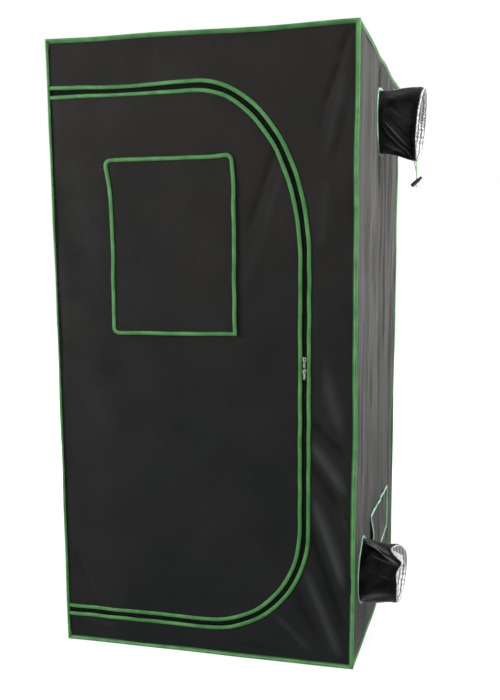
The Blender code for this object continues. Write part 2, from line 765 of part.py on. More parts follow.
def build_slider(level, z, door):
    """A slider on the door's half of the zip. Its rear plate backs that half alone, so the door can part."""
    chain_front = ZIP_DEPTH + ZIP_CHAIN_HEIGHT / 2 + FIT
    chain_back = ZIP_DEPTH - ZIP_CHAIN_HEIGHT / 2 - FIT
    plate_front = chain_front + SLIDER_PLATE
    ring_out = plate_front + BRIDGE_RISE
    post = ZIP_MESH_GAP / 2 - FIT
    half = SLIDER_LENGTH / 2
    bm = panel(FRONT, slider_outline(z), chain_front, plate_front)
    rear = rectangle((ZIP_RIGHT - SLIDER_WIDTH / 2, z - half), (ZIP_RIGHT + post, z + half))
    bm = combine(bm, panel(FRONT, rear, chain_back - SLIDER_PLATE, chain_back), "UNION")
    wedge = rectangle(
        (ZIP_RIGHT - post, z - SLIDER_POST_LENGTH / 2), (ZIP_RIGHT + post, z + SLIDER_POST_LENGTH / 2)
    )
    overlap = SLIDER_PLATE / 2
    bm = combine(bm, panel(FRONT, wedge, chain_back - overlap, chain_front + overlap), "UNION")
    centre = FRONT.at(ZIP_RIGHT, z, ring_out)
    side = Vector((BRIDGE_WIDTH / 2, 0, 0))
    ring = [(BRIDGE_INNER, 0), (BRIDGE_OUTER, 0), (BRIDGE_OUTER, BRIDGE_WIDTH), (BRIDGE_INNER, BRIDGE_WIDTH)]
    bm = combine(bm, turned(ring, centre - side, (1, 0, 0), CORNER_SIDES), "UNION")
    slide = add_pivot(f"zip_slider_{level}_slide", FRONT.at(ZIP_RIGHT, z, chain_front), door)
    add_piece(f"zip_slider_{level}", bm, "zip_metal", slide)
    pivot = add_pivot(f"zip_pull_{level}_hinge", centre, slide)
    add_piece(f"zip_pull_{level}", pull_mesh(z, ring_out), "zip_metal", pivot)


def pull_mesh(z, out):
    """A flat pull whose top bar lies in the slider's ring, with a hole at its free end."""
    half = PULL_WIDTH / 2
    top = z + PULL_BAR / 2
    bottom = top - PULL_LENGTH
    outline = arc((ZIP_RIGHT, bottom + half), (half, half), 180, 360, CORNER_SIDES // 2)
    outline += [(ZIP_RIGHT + half, top), (ZIP_RIGHT - half, top)]
    eye_half = BRIDGE_WIDTH / 2 + FIT
    eye = rectangle((ZIP_RIGHT - eye_half, z - PULL_EYE_REACH), (ZIP_RIGHT + eye_half, z - PULL_BAR / 2))
    hole = arc((ZIP_RIGHT, bottom + half), (PULL_HOLE, PULL_HOLE), 0, 360, CORNER_SIDES // 2)[:-1]
    thick = PULL_THICKNESS / 2
    return panel(FRONT, outline, out - thick, out + thick, [eye, hole])


# Duct ports with their sleeves, and the low vent


def mouth_share(shares, angle):
    """The mouth's radius in a direction, as a share of the port's, smooth between the eight given."""
    place = (angle / 360 % 1) * len(shares)
    index = int(place)
    t = place - index
    a, b, c, d = (shares[(index + k) % len(shares)] for k in (-1, 0, 1, 2))
    return b + t * (c - a + t * (2 * a - 5 * b + 4 * c - d + t * (3 * b - 3 * c + d - a))) / 2


def sleeve_out(sleeve, share):
    """How far out of the wall a share of the sleeve's length lies, before the mouth's lean."""
    return FIT + SLEEVE_COLLAR + (sleeve.length - SLEEVE_COLLAR) * share


def sleeve_point(sleeve, centre, share, out, angle, inset):
    """A point of the sleeve at a share of its length and a distance out of the wall.

    The inset is inwards from the outer side of its cloth.
    """
    ease = share * share * (3 - 2 * share)
    radius = PORT_RADIUS * (1 + (mouth_share(sleeve.mouth_shares, angle) - 1) * ease)
    for fold in sleeve.folds:
        away = (angle - (fold.start + (fold.end - fold.start) * share) + 180) % 360 - 180
        bulge = math.sin(math.pi * min(share, FOLD_FULL_SHARE))
        radius += fold.height * bulge * math.exp(-((away / fold.spread) ** 2))
    radius -= inset
    back = math.cos(math.radians(angle)) * radius
    up = math.sin(math.radians(angle)) * radius
    out += share * (sleeve.lean * up + sleeve.skew * back) / PORT_RADIUS
    return RIGHT.at(centre[0] + back, centre[1] + up - sleeve.drop * share * share, out)


def sleeve_mesh(sleeve, centre, outer_insets, inner_insets):
    """A tube of cloth between two insets given at each station, with both its ends closed off."""
    bm = bmesh.new()
    rings = []
    stations = [(0, FIT)] + [(share, sleeve_out(sleeve, share)) for share in SLEEVE_STATION_SHARES]
    outer_insets = [outer_insets[0], *outer_insets]
    inner_insets = [inner_insets[0], *inner_insets]
    walls = list(zip(stations, outer_insets))
    walls += list(zip(reversed(stations), reversed(inner_insets)))
    for (share, out), inset in walls:
        rings.append([
            bm.verts.new(sleeve_point(sleeve, centre, share, out, 360 * i / PORT_SIDES, inset))
            for i in range(PORT_SIDES)
        ])
    for place, (ring, following) in enumerate(zip(rings, rings[1:] + rings[:1])):
        split_rings(bm, ring, following, inner_side=place >= len(stations))
    return bm


def split_rings(bm, ring, following, inner_side):
    """Triangles between two rings, so that both sides of a folded cloth crease along the same lines."""
    for i, low_left in enumerate(ring):
        low_right = ring[(i + 1) % len(ring)]
        high_left = following[i]
        high_right = following[(i + 1) % len(ring)]
        if inner_side:
            bm.faces.new((low_left, low_right, high_left))
            bm.faces.new((low_right, high_right, high_left))
        else:
            bm.faces.new((low_left, low_right, high_right))
            bm.faces.new((low_left, high_right, high_left))


def build_ports():
    centres = {
        "upper": (UPPER_PORT_PLACE, UPPER_PORT_Z),
        "lower": (LOWER_PORT_Y, LOWER_PORT_HEIGHT),
    }
    hem = [-HEM_THICKNESS if share > HEM_START_SHARE else 0 for share in SLEEVE_STATION_SHARES]
    cloth = [FABRIC] * len(SLEEVE_STATION_SHARES)
    lining_out = [FABRIC + LINING_GAP] * len(SLEEVE_STATION_SHARES)
    lining_in = [FABRIC + LINING_GAP + LINING] * len(SLEEVE_STATION_SHARES)
    for level, centre in centres.items():
        sleeve = SLEEVES[level]
        add_piece(f"{level}_sleeve", sleeve_mesh(sleeve, centre, hem, cloth), "sleeve_cloth")
        lining = sleeve_mesh(sleeve, centre, lining_out, lining_in)
        add_piece(f"{level}_sleeve_lining", lining, "silver_lining")
        ring = circle(centre, PORT_RADIUS + FIT + TRIM_WIDTH / 2)
        trim = sweep(RIGHT, ring, trim_profile(FIT), closed=True)
        add_piece(f"{level}_port_piping", trim, "green_piping")


def vent_outline(grow):
    low = (VENT_FRONT - grow, VENT_BASE - grow)
    high = (VENT_BACK + grow, VENT_TOP + grow)
    return rounded_rectangle(low, high, [VENT_CORNER] * 4)


def build_vent():
    screen = vent_outline(VENT_SCREEN_SEAM - VENT_OVERLAP)
    inside = -FABRIC - FIT
    add_piece("vent_screen", panel(RIGHT, screen, inside - VENT_SCREEN, inside), "screen_mesh")
    pivot = add_pivot("vent_flap_hinge", VENT_AXIS)
    cloth = vent_outline(VENT_TRIM_WIDTH / 2 - TRIM_EDGE)
    add_piece("vent_flap", panel(RIGHT, cloth, FIT, FIT + FABRIC), "black_cloth", pivot)
    profile = trim_profile(FLAP_TRIM_BACK, VENT_TRIM_WIDTH)
    add_piece("vent_flap_piping", sweep(RIGHT, vent_outline(0), profile, closed=True), "green_piping", pivot)


# Drawcord and cord lock


def smooth_route(route):
    """Points a few diameters apart on a smooth curve through the route's own points."""
    points = [Vector(p) for p in route]
    points = [2 * points[0] - points[1], *points, 2 * points[-1] - points[-2]]
    smooth = []
    for a, b, c, d in zip(points, points[1:], points[2:], points[3:]):
        steps = max(1, round((c - b).length / (CORD_POINT_SPACING * CORD_DIAMETER)))
        for i in range(steps):
            t = i / steps
            smooth.append(b + (c - a + (2 * a - 5 * b + 4 * c - d + (3 * b - 3 * c + d - a) * t) * t) * t / 2)
    return smooth + [points[-2]]


def hem_place(angle):
    """The place just under the upper sleeve's hem where a strand can leave it."""
    sleeve = SLEEVES["upper"]
    centre = (UPPER_PORT_PLACE, UPPER_PORT_Z)
    out = sleeve_out(sleeve, EYE_SHARE)
    return sleeve_point(sleeve, centre, EYE_SHARE, out, angle, -HEM_THICKNESS - 2 * FIT)


def build_cord(name, route, side):
    """A strand that leaves the hem straight down, and follows its route from the hem's lowest place."""
    start = hem_place(HEM_LOW_ANGLE + side * STRAND_ANGLE)
    lowest = hem_place(HEM_LOW_ANGLE)
    places = [start, start - Vector((0, 0, CORD_DIAMETER))] + [lowest + Vector(p) for p in route]
    curve = bpy.data.curves.new(name, "CURVE")
    curve.dimensions = "3D"
    curve.bevel_depth = CORD_DIAMETER / 2
    curve.bevel_resolution = CORD_SIDES_RESOLUTION
    curve.use_fill_caps = True
    points = smooth_route(places)
    spline = curve.splines.new("POLY")
    spline.points.add(len(points) - 1)
    for target, point in zip(spline.points, points):
        target.co = (*point, 1)
    curve.materials.append(make_material(name, "green_cord"))
    obj = bpy.data.objects.new(name, curve)
    link(obj, Vector((0, 0, 0)), None)


def lock_slot(crossing, left, right):
    """The upright slot that the two strands pass through."""
    low = (crossing.x - left, -LOCK_SLOT_REACH, crossing.z - LOCK_LENGTH)
    high = (crossing.x + right, LOCK_SLOT_REACH, crossing.z + LOCK_LENGTH)
    return box(low, high)


def build_cord_lock():
    """The barrel and its push button, which hang aslant on the strands."""
    crossing = hem_place(HEM_LOW_ANGLE) + Vector((STRAND_LEAN, 0, -LOCK_DROP))
    lock = add_pivot("cord_lock_slide", crossing)
    start = crossing - LOCK_AXIS * LOCK_CROSSING
    barrel = [
        (0, 0), (LOCK_RADIUS - LOCK_ROUNDING, 0), (LOCK_RADIUS, LOCK_ROUNDING), (LOCK_RADIUS, LOCK_LENGTH),
        (LOCK_BORE, LOCK_LENGTH), (LOCK_BORE, LOCK_FLOOR), (0, LOCK_FLOOR),
    ]
    body = turned(barrel, start, LOCK_AXIS, LOCK_SIDES, closed=False)
    body = combine(body, lock_slot(crossing, LOCK_SLOT_WIDTH, LOCK_SLOT_WIDTH), "DIFFERENCE")
    add_piece("cord_lock_body", body, "lock_plastic", lock)
    inner_end = LOCK_FLOOR + BUTTON_TRAVEL + FIT
    outer_end = LOCK_LENGTH + BUTTON_PROUD
    plunger = [
        (0, inner_end), (BUTTON_RADIUS, inner_end), (BUTTON_RADIUS, outer_end - LOCK_ROUNDING),
        (BUTTON_RADIUS - LOCK_ROUNDING, outer_end), (0, outer_end),
    ]
    button = turned(plunger, start, LOCK_AXIS, LOCK_SIDES, closed=False)
    narrow = LOCK_SLOT_WIDTH - FIT
    button = combine(button, lock_slot(crossing, narrow, narrow + BUTTON_TRAVEL * LOCK_AXIS.x), "DIFFERENCE")
    press = add_pivot("cord_lock_press", start + LOCK_AXIS * LOCK_LENGTH, lock)
    add_piece("cord_lock_button", button, "lock_plastic", press)


def build_drawcord():
    for side, (name, route) in zip((-1, 1), CORD_ROUTES.items()):
        build_cord(name, route, side)
    knot = bmesh.new()
    bmesh.ops.create_uvsphere(knot, u_segments=CORNER_SIDES, v_segments=CORNER_SIDES // 2, radius=KNOT_RADIUS)
    under = Vector((STRAND_LEAN, 0, -STRAND_LENGTH - FIT - KNOT_RADIUS))
    bmesh.ops.translate(knot, verts=knot.verts, vec=hem_place(HEM_LOW_ANGLE) + under)
    add_piece("drawcord_knot", knot, "green_cord")
    build_cord_lock()


clear_scene()
build_frame()
build_roof_bars()
build_tray()
build_cover()
build_door()
build_ports()
build_vent()
build_drawcord()
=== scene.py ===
"""Looks of the indoor grow tent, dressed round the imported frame.

The sewn cover with its bindings, zips, window, vent, sleeves and drawcord is made here as cloth, and the
pole frame and the small hardware get their finishes. Metres, +Z up, and the door faces -Y.
"""

from __future__ import annotations

import logging
import math
from collections.abc import Callable, Iterable, Sequence
from dataclasses import dataclass, field
from enum import Enum

import bmesh
import bpy
import numpy as np
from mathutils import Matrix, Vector
from mathutils.geometry import delaunay_2d_cdt

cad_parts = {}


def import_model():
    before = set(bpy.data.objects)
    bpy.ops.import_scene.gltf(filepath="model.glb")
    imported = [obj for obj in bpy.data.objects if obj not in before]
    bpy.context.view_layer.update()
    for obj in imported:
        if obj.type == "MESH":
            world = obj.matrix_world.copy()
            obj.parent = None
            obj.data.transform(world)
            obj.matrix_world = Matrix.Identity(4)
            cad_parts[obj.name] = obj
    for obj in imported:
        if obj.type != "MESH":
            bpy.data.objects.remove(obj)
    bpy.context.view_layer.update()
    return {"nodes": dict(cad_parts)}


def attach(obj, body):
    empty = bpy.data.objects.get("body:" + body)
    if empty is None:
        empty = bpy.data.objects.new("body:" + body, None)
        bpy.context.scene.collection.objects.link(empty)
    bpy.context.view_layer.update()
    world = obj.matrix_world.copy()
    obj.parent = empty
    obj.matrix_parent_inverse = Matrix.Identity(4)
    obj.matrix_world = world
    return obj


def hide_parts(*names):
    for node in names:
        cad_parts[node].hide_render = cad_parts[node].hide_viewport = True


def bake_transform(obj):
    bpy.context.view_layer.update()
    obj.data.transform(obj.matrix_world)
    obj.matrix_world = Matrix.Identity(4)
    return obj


log = logging.getLogger("grow_tent")

Path = list[tuple[float, float]]
Colour = tuple[float, float, float]
Surface = Callable[[np.ndarray, np.ndarray], np.ndarray]

# Places nearer than this count as one
TOUCHING = 1e-6


class Body(str, Enum):
    """The moving bodies that pieces of the cover ride on."""

    TENT = "tent"
    DOOR = "door"
    WINDOW_FLAP = "window_flap"
    VENT_FLAP = "vent_flap"
    FLOOR_TRAY = "floor_tray"


# Finishes


class Nodes:
    """A node tree, with short calls that add a node and join it up."""

    def __init__(self, tree: bpy.types.NodeTree, prefix: str = "ShaderNode") -> None:
        """Keeps the tree, and what the types of its nodes start with."""
        self.tree = tree
        self.prefix = prefix

    def feed(self, socket: bpy.types.NodeSocket, value: object) -> None:
        """Gives a socket a value, or joins another socket to it."""
        if isinstance(value, bpy.types.NodeSocket):
            self.tree.links.new(value, socket)
        else:
            socket.default_value = value

    def node(self, kind: str, inputs: dict | None = None, **settings: object) -> bpy.types.Node:
        """Adds a node.

        Args:
            kind: the node's type, without the prefix.
            inputs: values or sockets by the input's name or place.
            settings: the node's own properties.

        Returns:
            The new node.
        """
        made = self.tree.nodes.new(self.prefix + kind)
        for name, value in settings.items():
            setattr(made, name, value)
        for name, value in (inputs or {}).items():
            self.feed(made.inputs[name], value)
        return made

    def math(self, operation: str, a: object, b: object = 0.0) -> bpy.types.NodeSocket:
        """The result of one sum on two numbers or sockets."""
        return self.node("Math", {0: a, 1: b}, operation=operation).outputs[0]

    def seen(self) -> bpy.types.NodeSocket:
        """Whether the camera, a glass or a gloss looks."""
        rays = self.node("LightPath").outputs
        direct = self.math("MAXIMUM", rays["Is Camera Ray"], rays["Is Transmission Ray"])
        return self.math("MAXIMUM", direct, rays["Is Glossy Ray"])


class Sketch(Nodes):
    """A material's node tree, with short calls for the nodes that the finishes share."""

    def __init__(self, name: str) -> None:
        """Starts a material with its shader alone."""
        self.material = bpy.data.materials.new(name)
        self.material.use_nodes = True
        super().__init__(self.material.node_tree)
        self.shader = self.tree.nodes["Principled BSDF"]

    def put(self, **inputs: object) -> None:
        """Sets the shader's sockets by name, with _ for a space."""
        for name, value in inputs.items():
            self.feed(self.shader.inputs[name.replace("_", " ")], value)

    def times(self, a: object, b: object) -> bpy.types.NodeSocket:
        """The product of two numbers or sockets."""
        return self.math("MULTIPLY", a, b)

    def wave(self, value: bpy.types.NodeSocket, pitch: float) -> bpy.types.NodeSocket:
        """A sine that crosses zero at every pitch."""
        return self.math("SINE", self.times(value, math.pi / pitch))

    def rise(self) -> bpy.types.NodeSocket:
        """How far up a fold the cloth is, from -1 in a groove to 1 on a ridge."""
        return self.node("Attribute", attribute_name="rise").outputs["Fac"]

    def dimmed(self, colour: bpy.types.NodeSocket, share: bpy.types.NodeSocket) -> bpy.types.NodeSocket:
        """A colour times a share."""
        return self.node("VectorMath", {0: colour, "Scale": share}, operation="SCALE").outputs[0]

    def cloth_place(self) -> tuple[bpy.types.NodeSocket, bpy.types.NodeSocket]:
        """The piece's own cloth coordinates in metres, across and along."""
        place = self.node("UVMap", uv_map="cloth").outputs[0]
        parts = self.node("SeparateXYZ", {0: place})
        return parts.outputs[0], parts.outputs[1]

    def object_place(self, stretch: tuple[float, float, float] = (1, 1, 1)) -> bpy.types.NodeSocket:
        """Object coordinates, drawn out by a factor along each axis."""
        place = self.node("TexCoord").outputs["Object"]
        return self.node("Mapping", {"Vector": place, "Scale": stretch}).outputs[0]

    def noise(self, place: bpy.types.NodeSocket, scale: float, detail: float = 3.0) -> bpy.types.NodeSocket:
        """Cloudy noise between 0 and 1."""
        return self.node("TexNoise", {"Vector": place, "Scale": scale, "Detail": detail}).outputs[0]

    def spread(
        self, value: bpy.types.NodeSocket, low: float, high: float, start: float = 0.3, end: float = 0.7
    ) -> bpy.types.NodeSocket:
        """A value's range from start to end, carried over to low and high."""
        inputs = {0: value, 1: start, 2: end, 3: low, 4: high}
        return self.node("MapRange", inputs).outputs[0]

    def between(
        self, share: bpy.types.NodeSocket, low: Colour | bpy.types.NodeSocket, high: Colour
    ) -> bpy.types.NodeSocket:
        """A colour between two, by a share."""
        start = low if isinstance(low, bpy.types.NodeSocket) else (*low, 1)
        return self.node("Mix", {0: share, 6: start, 7: (*high, 1)}, data_type="RGBA").outputs[2]

    def bump(
        self,
        height: bpy.types.NodeSocket,
        strength: float,
        distance: float,
        under: bpy.types.NodeSocket | None = None,
    ) -> bpy.types.NodeSocket:
        """A bumped normal, laid over another where one is given.

        Args:
            height: the surface's height.
            strength: the share of the bump that shows.
            distance: the height of a full bump in metres.
            under: the normal below.

        Returns:
            The normal.
        """
        inputs = {"Height": height, "Strength": strength, "Distance": distance}
        if under is not None:
            inputs["Normal"] = under
        return self.node("Bump", inputs).outputs[0]

    def weave(self, pitch_across: float, pitch_along: float) -> bpy.types.NodeSocket:
        """The height of a plain weave of rounded threads.

        Args:
            pitch_across: the spacing of the threads that run along the cloth.
            pitch_along: the spacing of those that run across it.

        Returns:
            A height between 0 and 1.
        """
        across, along = self.cloth_place()
        warp, weft = self.wave(across, pitch_across), self.wave(along, pitch_along)
        over = self.spread(self.times(warp, weft), 0.0, 1.0, -1.0, 1.0)
        upper = self.times(over, self.math("ABSOLUTE", warp))
        lower = self.times(self.math("SUBTRACT", 1.0, over), self.math("ABSOLUTE", weft))
        return self.math("ADD", upper, lower)

    def lattice(self, pitch: float) -> bpy.types.NodeSocket:
        """The height of small slanting squares, none along their edges."""
        across, along = self.cloth_place()
        rising = self.wave(self.math("ADD", across, along), pitch)
        falling = self.wave(self.math("SUBTRACT", across, along), pitch)
        return self.math("ABSOLUTE", self.times(rising, falling))


class Finish:
    """A finish that is made as one material."""

    name: str

    def paint(self, sketch: Sketch) -> None:
        """Lays out the material's nodes."""
        raise NotImplementedError

    def material(self) -> bpy.types.Material:
        """Builds the material."""
        sketch = Sketch(self.name)
        self.paint(sketch)
        return sketch.material


@dataclass(frozen=True)
class WovenCloth(Finish):
    """Coarse woven polyester: dark, matt, and silky where it is seen along its face; its colour and sheen
    carry painted light: paler towards the top, lighter on fold crests with wear and painted highlight, and
    darker in fold grooves.
    """

    name: str = "black_cloth"
    dark: Colour = (0.0084, 0.0094, 0.0098)
    pale: Colour = (0.0180, 0.0166, 0.0156)
    crest_highlight_and_wear: Colour = (0.0390, 0.0425, 0.0430)
    sheen: float = 1.0
    thread: float = 0.0011

    def paint(self, sketch: Sketch) -> None:
        """Lays out the nodes."""
        place = sketch.object_place()
        cloud = sketch.noise(place, 3.4, 5.0)
        rise = sketch.rise()
        height = sketch.node("SeparateXYZ", {0: place}).outputs[2]
        # Painted light: the colour grows paler towards the top, where the walls are lit more, over a random
        # cloudy tone.
        high = sketch.spread(height, 0.0, 0.7, 0.2, 1.8)
        share = sketch.math("ADD", high, sketch.spread(cloud, -0.15, 0.45))
        plain = sketch.between(share, self.dark, self.pale)
        # Fold crests are painted lighter: partly rubbed wear, partly painted highlight.
        crest_highlight_mask = sketch.spread(rise, 0.0, 1.0, 0.12, 0.9)
        worn = sketch.between(crest_highlight_mask, plain, self.crest_highlight_and_wear)
        # Painted shade: the colour is darkened in the fold grooves.
        groove_shade = sketch.spread(rise, 0.30, 1.0, -1.0, -0.1)
        deep = sketch.dimmed(worn, groove_shade)
        sketch.put(Base_Color=deep, Roughness=sketch.spread(sketch.noise(place, 9.0), 0.62, 0.78))
        # Painted shade: the sheen weakens towards the bottom and in the fold grooves, darkening the lower
        # walls and the grooves.
        silk = sketch.spread(height, 0.38, 1.0, 0.30, 1.2)
        streaked = sketch.spread(rise, 0.58, self.sheen, -0.45, 0.25)
        sketch.put(Specular_IOR_Level=0.085, Sheen_Weight=sketch.times(silk, streaked))
        sketch.put(Sheen_Roughness=0.27, Sheen_Tint=(1.0, 0.98, 0.96, 1.0))
        creases = sketch.noise(place, 26.0, 6.0)
        normal = sketch.bump(creases, 0.34, 0.005)
        sketch.put(Normal=sketch.bump(sketch.weave(self.thread, self.thread), 0.35, 0.0003, normal))


@dataclass(frozen=True)
class Binding(Finish):
    """Ribbed binding tape folded over the cloth's edges."""

    name: str = "green_piping"
    deep: Colour = (0.036, 0.180, 0.036)
    pale: Colour = (0.085, 0.285, 0.080)
    rib: float = 0.0009

    def paint(self, sketch: Sketch) -> None:
        """Lays out the nodes."""
        place = sketch.object_place()
        cloud = sketch.spread(sketch.noise(place, 16.0, 3.0), 0.0, 1.0, 0.35, 0.65)
        plain = sketch.between(cloud, self.deep, self.pale)
        rise = sketch.rise()
        margin = sketch.spread(rise, 0.22, 1.0, -1.0, 0.0)
        shaded = sketch.dimmed(plain, margin)
        sketch.put(Base_Color=shaded)
        sketch.put(Roughness=sketch.spread(sketch.noise(place, 60.0), 0.45, 0.62))
        sketch.put(Sheen_Weight=0.15, Sheen_Roughness=0.4, Specular_IOR_Level=0.22)
        ribs = sketch.wave(sketch.cloth_place()[1], self.rib / 2)
        pucker = sketch.bump(sketch.noise(place, 90.0, 2.0), 0.25, 0.0015)
        sketch.put(Normal=sketch.bump(ribs, 0.4, 0.0002, pucker))


@dataclass(frozen=True)
class SilverLining(Finish):
    """Reflective film bonded to the inside of the cloth, pressed with small diamonds and crinkled, with
    painted shade along its crinkles and in the troughs of its ripples and folds.
    """

    name: str = "silver_lining"
    colour: Colour = (0.78, 0.79, 0.80)
    diamond: float = 0.006
    crinkle: float = 0.55
    crease_shade: float = 0.42
    metal: float = 0.30

    def paint(self, sketch: Sketch) -> None:
        """Lays out the nodes."""
        place = sketch.object_place()
        cloud = sketch.noise(place, 26.0, 4.0)
        across, along = sketch.cloth_place()
        shortened = sketch.times(along, 3.2)
        drawn = sketch.node("CombineXYZ", {0: across, 1: shortened, 2: cloud}).outputs[0]
        creases = sketch.node("TexVoronoi", {"Vector": drawn, "Scale": 30.0}, feature="DISTANCE_TO_EDGE")
        # Painted shade: the colour is dimmed along the crinkle lines.
        off_crease = sketch.spread(creases.outputs[0], 0.0, 1.0, 0.0, 0.08)
        crinkles = sketch.between(off_crease, tuple(self.crease_shade * c for c in self.colour), self.colour)
        rise = sketch.rise()
        # Painted shade: the lining is darkened in the troughs of its ripples and folds.
        groove_shade = sketch.spread(rise, 0.40, 1.0, -1.0, 0.0)
        shaded = sketch.dimmed(crinkles, groove_shade)
        sketch.put(Base_Color=shaded, Metallic=self.metal, Roughness=sketch.spread(cloud, 0.42, 0.62))
        crinkled = sketch.bump(creases.outputs[0], self.crinkle, 0.004)
        sketch.put(Normal=sketch.bump(sketch.lattice(self.diamond), 0.30, 0.0006, crinkled))


@dataclass(frozen=True)
class CoatedNylon(Finish):
    """Thin black nylon of the sleeves, which creases easily, with its crease crests painted light as painted
    highlight and rubbed wear.
    """

    name: str = "sleeve_cloth"
    dark: Colour = (0.0018, 0.0018, 0.0018)
    pale: Colour = (0.0210, 0.0215, 0.0210)
    crest_highlight_and_wear: Colour = (0.1300, 0.1300, 0.1260)

    def paint(self, sketch: Sketch) -> None:
        """Lays out the nodes."""
        place = sketch.object_place()
        cloud = sketch.noise(place, 12.0, 3.0)
        rise = sketch.rise()
        patches = sketch.spread(sketch.noise(place, 9.0, 4.0), 0.0, 1.0, 0.46, 0.68)
        plain = sketch.between(patches, self.dark, self.pale)
        # Crease crests are painted much lighter: partly painted highlight, partly rubbed wear.
        crest_highlight_mask = sketch.spread(rise, 0.0, 1.0, 0.2, 1.0)
        worn = sketch.between(crest_highlight_mask, plain, self.crest_highlight_and_wear)
        sketch.put(Base_Color=worn, Roughness=sketch.spread(cloud, 0.22, 0.36))
        sketch.put(Specular_IOR_Level=0.045)
        creases = sketch.bump(sketch.noise(place, 30.0, 4.0), 0.30, 0.004)
        sketch.put(Normal=sketch.bump(sketch.weave(0.0006, 0.0006), 0.2, 0.0002, creases))


@dataclass(frozen=True)
class PoleEnamel(Finish):
    """White baked enamel on steel tube."""

    name: str = "pole_enamel"
    clean: Colour = (0.78, 0.79, 0.80)
    worn: Colour = (0.62, 0.62, 0.61)

    def paint(self, sketch: Sketch) -> None:
        """Lays out the nodes."""
        place = sketch.object_place()
        wear = sketch.spread(sketch.noise(place, 22.0, 6.0), 0.0, 1.0, 0.55, 0.75)
        sketch.put(Base_Color=sketch.between(wear, self.clean, self.worn))
        sketch.put(Roughness=sketch.spread(wear, 0.30, 0.50, 0.0, 1.0), Coat_Weight=0.2, Coat_Roughness=0.2)
        sketch.put(Normal=sketch.bump(sketch.noise(place, 700.0, 2.0), 0.08, 0.0003))


@dataclass(frozen=True)
class MouldedPlastic(Finish):
    """Black plastic with the fine grain of its mould."""

    name: str
    colour: Colour
    grain: float = 1400.0
    low: float = 0.36
    high: float = 0.52
    gloss: float = 0.5

    def paint(self, sketch: Sketch) -> None:
        """Lays out the nodes."""
        place = sketch.object_place()
        cloud = sketch.noise(place, 45.0, 3.0)
        sketch.put(Specular_IOR_Level=self.gloss)
        light = tuple(1.5 * c for c in self.colour)
        sketch.put(Base_Color=sketch.between(sketch.spread(cloud, 0.0, 1.0), self.colour, light))
        sketch.put(Roughness=sketch.spread(cloud, self.low, self.high))
        sketch.put(Normal=sketch.bump(sketch.noise(place, self.grain, 2.0), 0.15, 0.0003))


@dataclass(frozen=True)
class ZipTape(Finish):
    """Black woven tape with a fine lengthwise rib."""

    name: str = "zip_tape"
    colour: Colour = (0.0030, 0.0042, 0.0034)

    def paint(self, sketch: Sketch) -> None:
        """Lays out the nodes."""
        place = sketch.object_place()
        cloud = sketch.spread(sketch.noise(place, 30.0), 0.0, 1.0)
        light = tuple(1.7 * c for c in self.colour)
        sketch.put(Base_Color=sketch.between(cloud, self.colour, light), Roughness=0.72)
        sketch.put(Specular_IOR_Level=0.04)
        sketch.put(Normal=sketch.bump(sketch.weave(0.0007, 0.0012), 0.4, 0.0002))


@dataclass(frozen=True)
class ZipMetal(Finish):
    """Plated die-cast metal, worn warm in random patches."""

    name: str = "zip_metal"
    plate: Colour = (0.30, 0.30, 0.27)
    worn: Colour = (0.10, 0.09, 0.06)

    def paint(self, sketch: Sketch) -> None:
        """Lays out the nodes."""
        place = sketch.object_place()
        wear = sketch.spread(sketch.noise(place, 160.0, 4.0), 0.0, 1.0, 0.45, 0.62)
        sketch.put(Base_Color=sketch.between(wear, self.plate, self.worn), Metallic=1.0)
        sketch.put(Roughness=sketch.spread(sketch.noise(place, 500.0), 0.24, 0.46))
        sketch.put(Normal=sketch.bump(sketch.noise(place, 900.0, 2.0), 0.12, 0.0003))


@dataclass(frozen=True)
class ClearVinyl(Finish):
    """Clear flexible vinyl with soft ripples."""

    name: str = "clear_vinyl"
    colour: Colour = (0.62, 0.66, 0.68)

    def paint(self, sketch: Sketch) -> None:
        """Lays out the nodes."""
        place = sketch.object_place()
        cloud = sketch.noise(place, 14.0, 3.0)
        sketch.put(Base_Color=(*self.colour, 1), Roughness=sketch.spread(cloud, 0.08, 0.18), Alpha=0.35)
        sketch.put(Normal=sketch.bump(cloud, 0.25, 0.006))


@dataclass(frozen=True)
class InsectMesh(Finish):
    """Fine black mesh, seen through between its threads."""

    name: str = "screen_mesh"
    colour: Colour = (0.020, 0.020, 0.021)
    pitch: float = 0.0016

    def paint(self, sketch: Sketch) -> None:
        """Lays out the nodes."""
        threads = []
        for place in sketch.cloth_place():
            wave = sketch.math("ABSOLUTE", sketch.wave(place, self.pitch))
            threads.append(sketch.spread(wave, 1.0, 0.0, 0.30, 0.42))
        cover = sketch.math("MAXIMUM", threads[0], threads[1])
        cloud = sketch.spread(sketch.noise(sketch.object_place(), 18.0), 0.0, 1.0)
        light = tuple(1.6 * c for c in self.colour)
        sketch.put(Base_Color=sketch.between(cloud, self.colour, light), Roughness=0.6, Alpha=cover)
        sketch.put(Normal=sketch.bump(cover, 0.3, 0.0003))


@dataclass(frozen=True)
class BraidedCord(Finish):
    """Round cord braided from bright green yarn, painted darker between the yarns as shade."""

    name: str = "green_cord"
    deep: Colour = (0.110, 0.480, 0.110)
    pale: Colour = (0.420, 0.860, 0.380)
    plait: float = 0.0022

    def paint(self, sketch: Sketch) -> None:
        """Lays out the nodes."""
        yarn = sketch.lattice(self.plait)
        # Painted shade: the colour darkens in the hollows between the yarns.
        sketch.put(Base_Color=sketch.between(yarn, self.deep, self.pale), Roughness=0.62)
        sketch.put(Sheen_Weight=0.3, Normal=sketch.bump(yarn, 0.5, 0.0004))


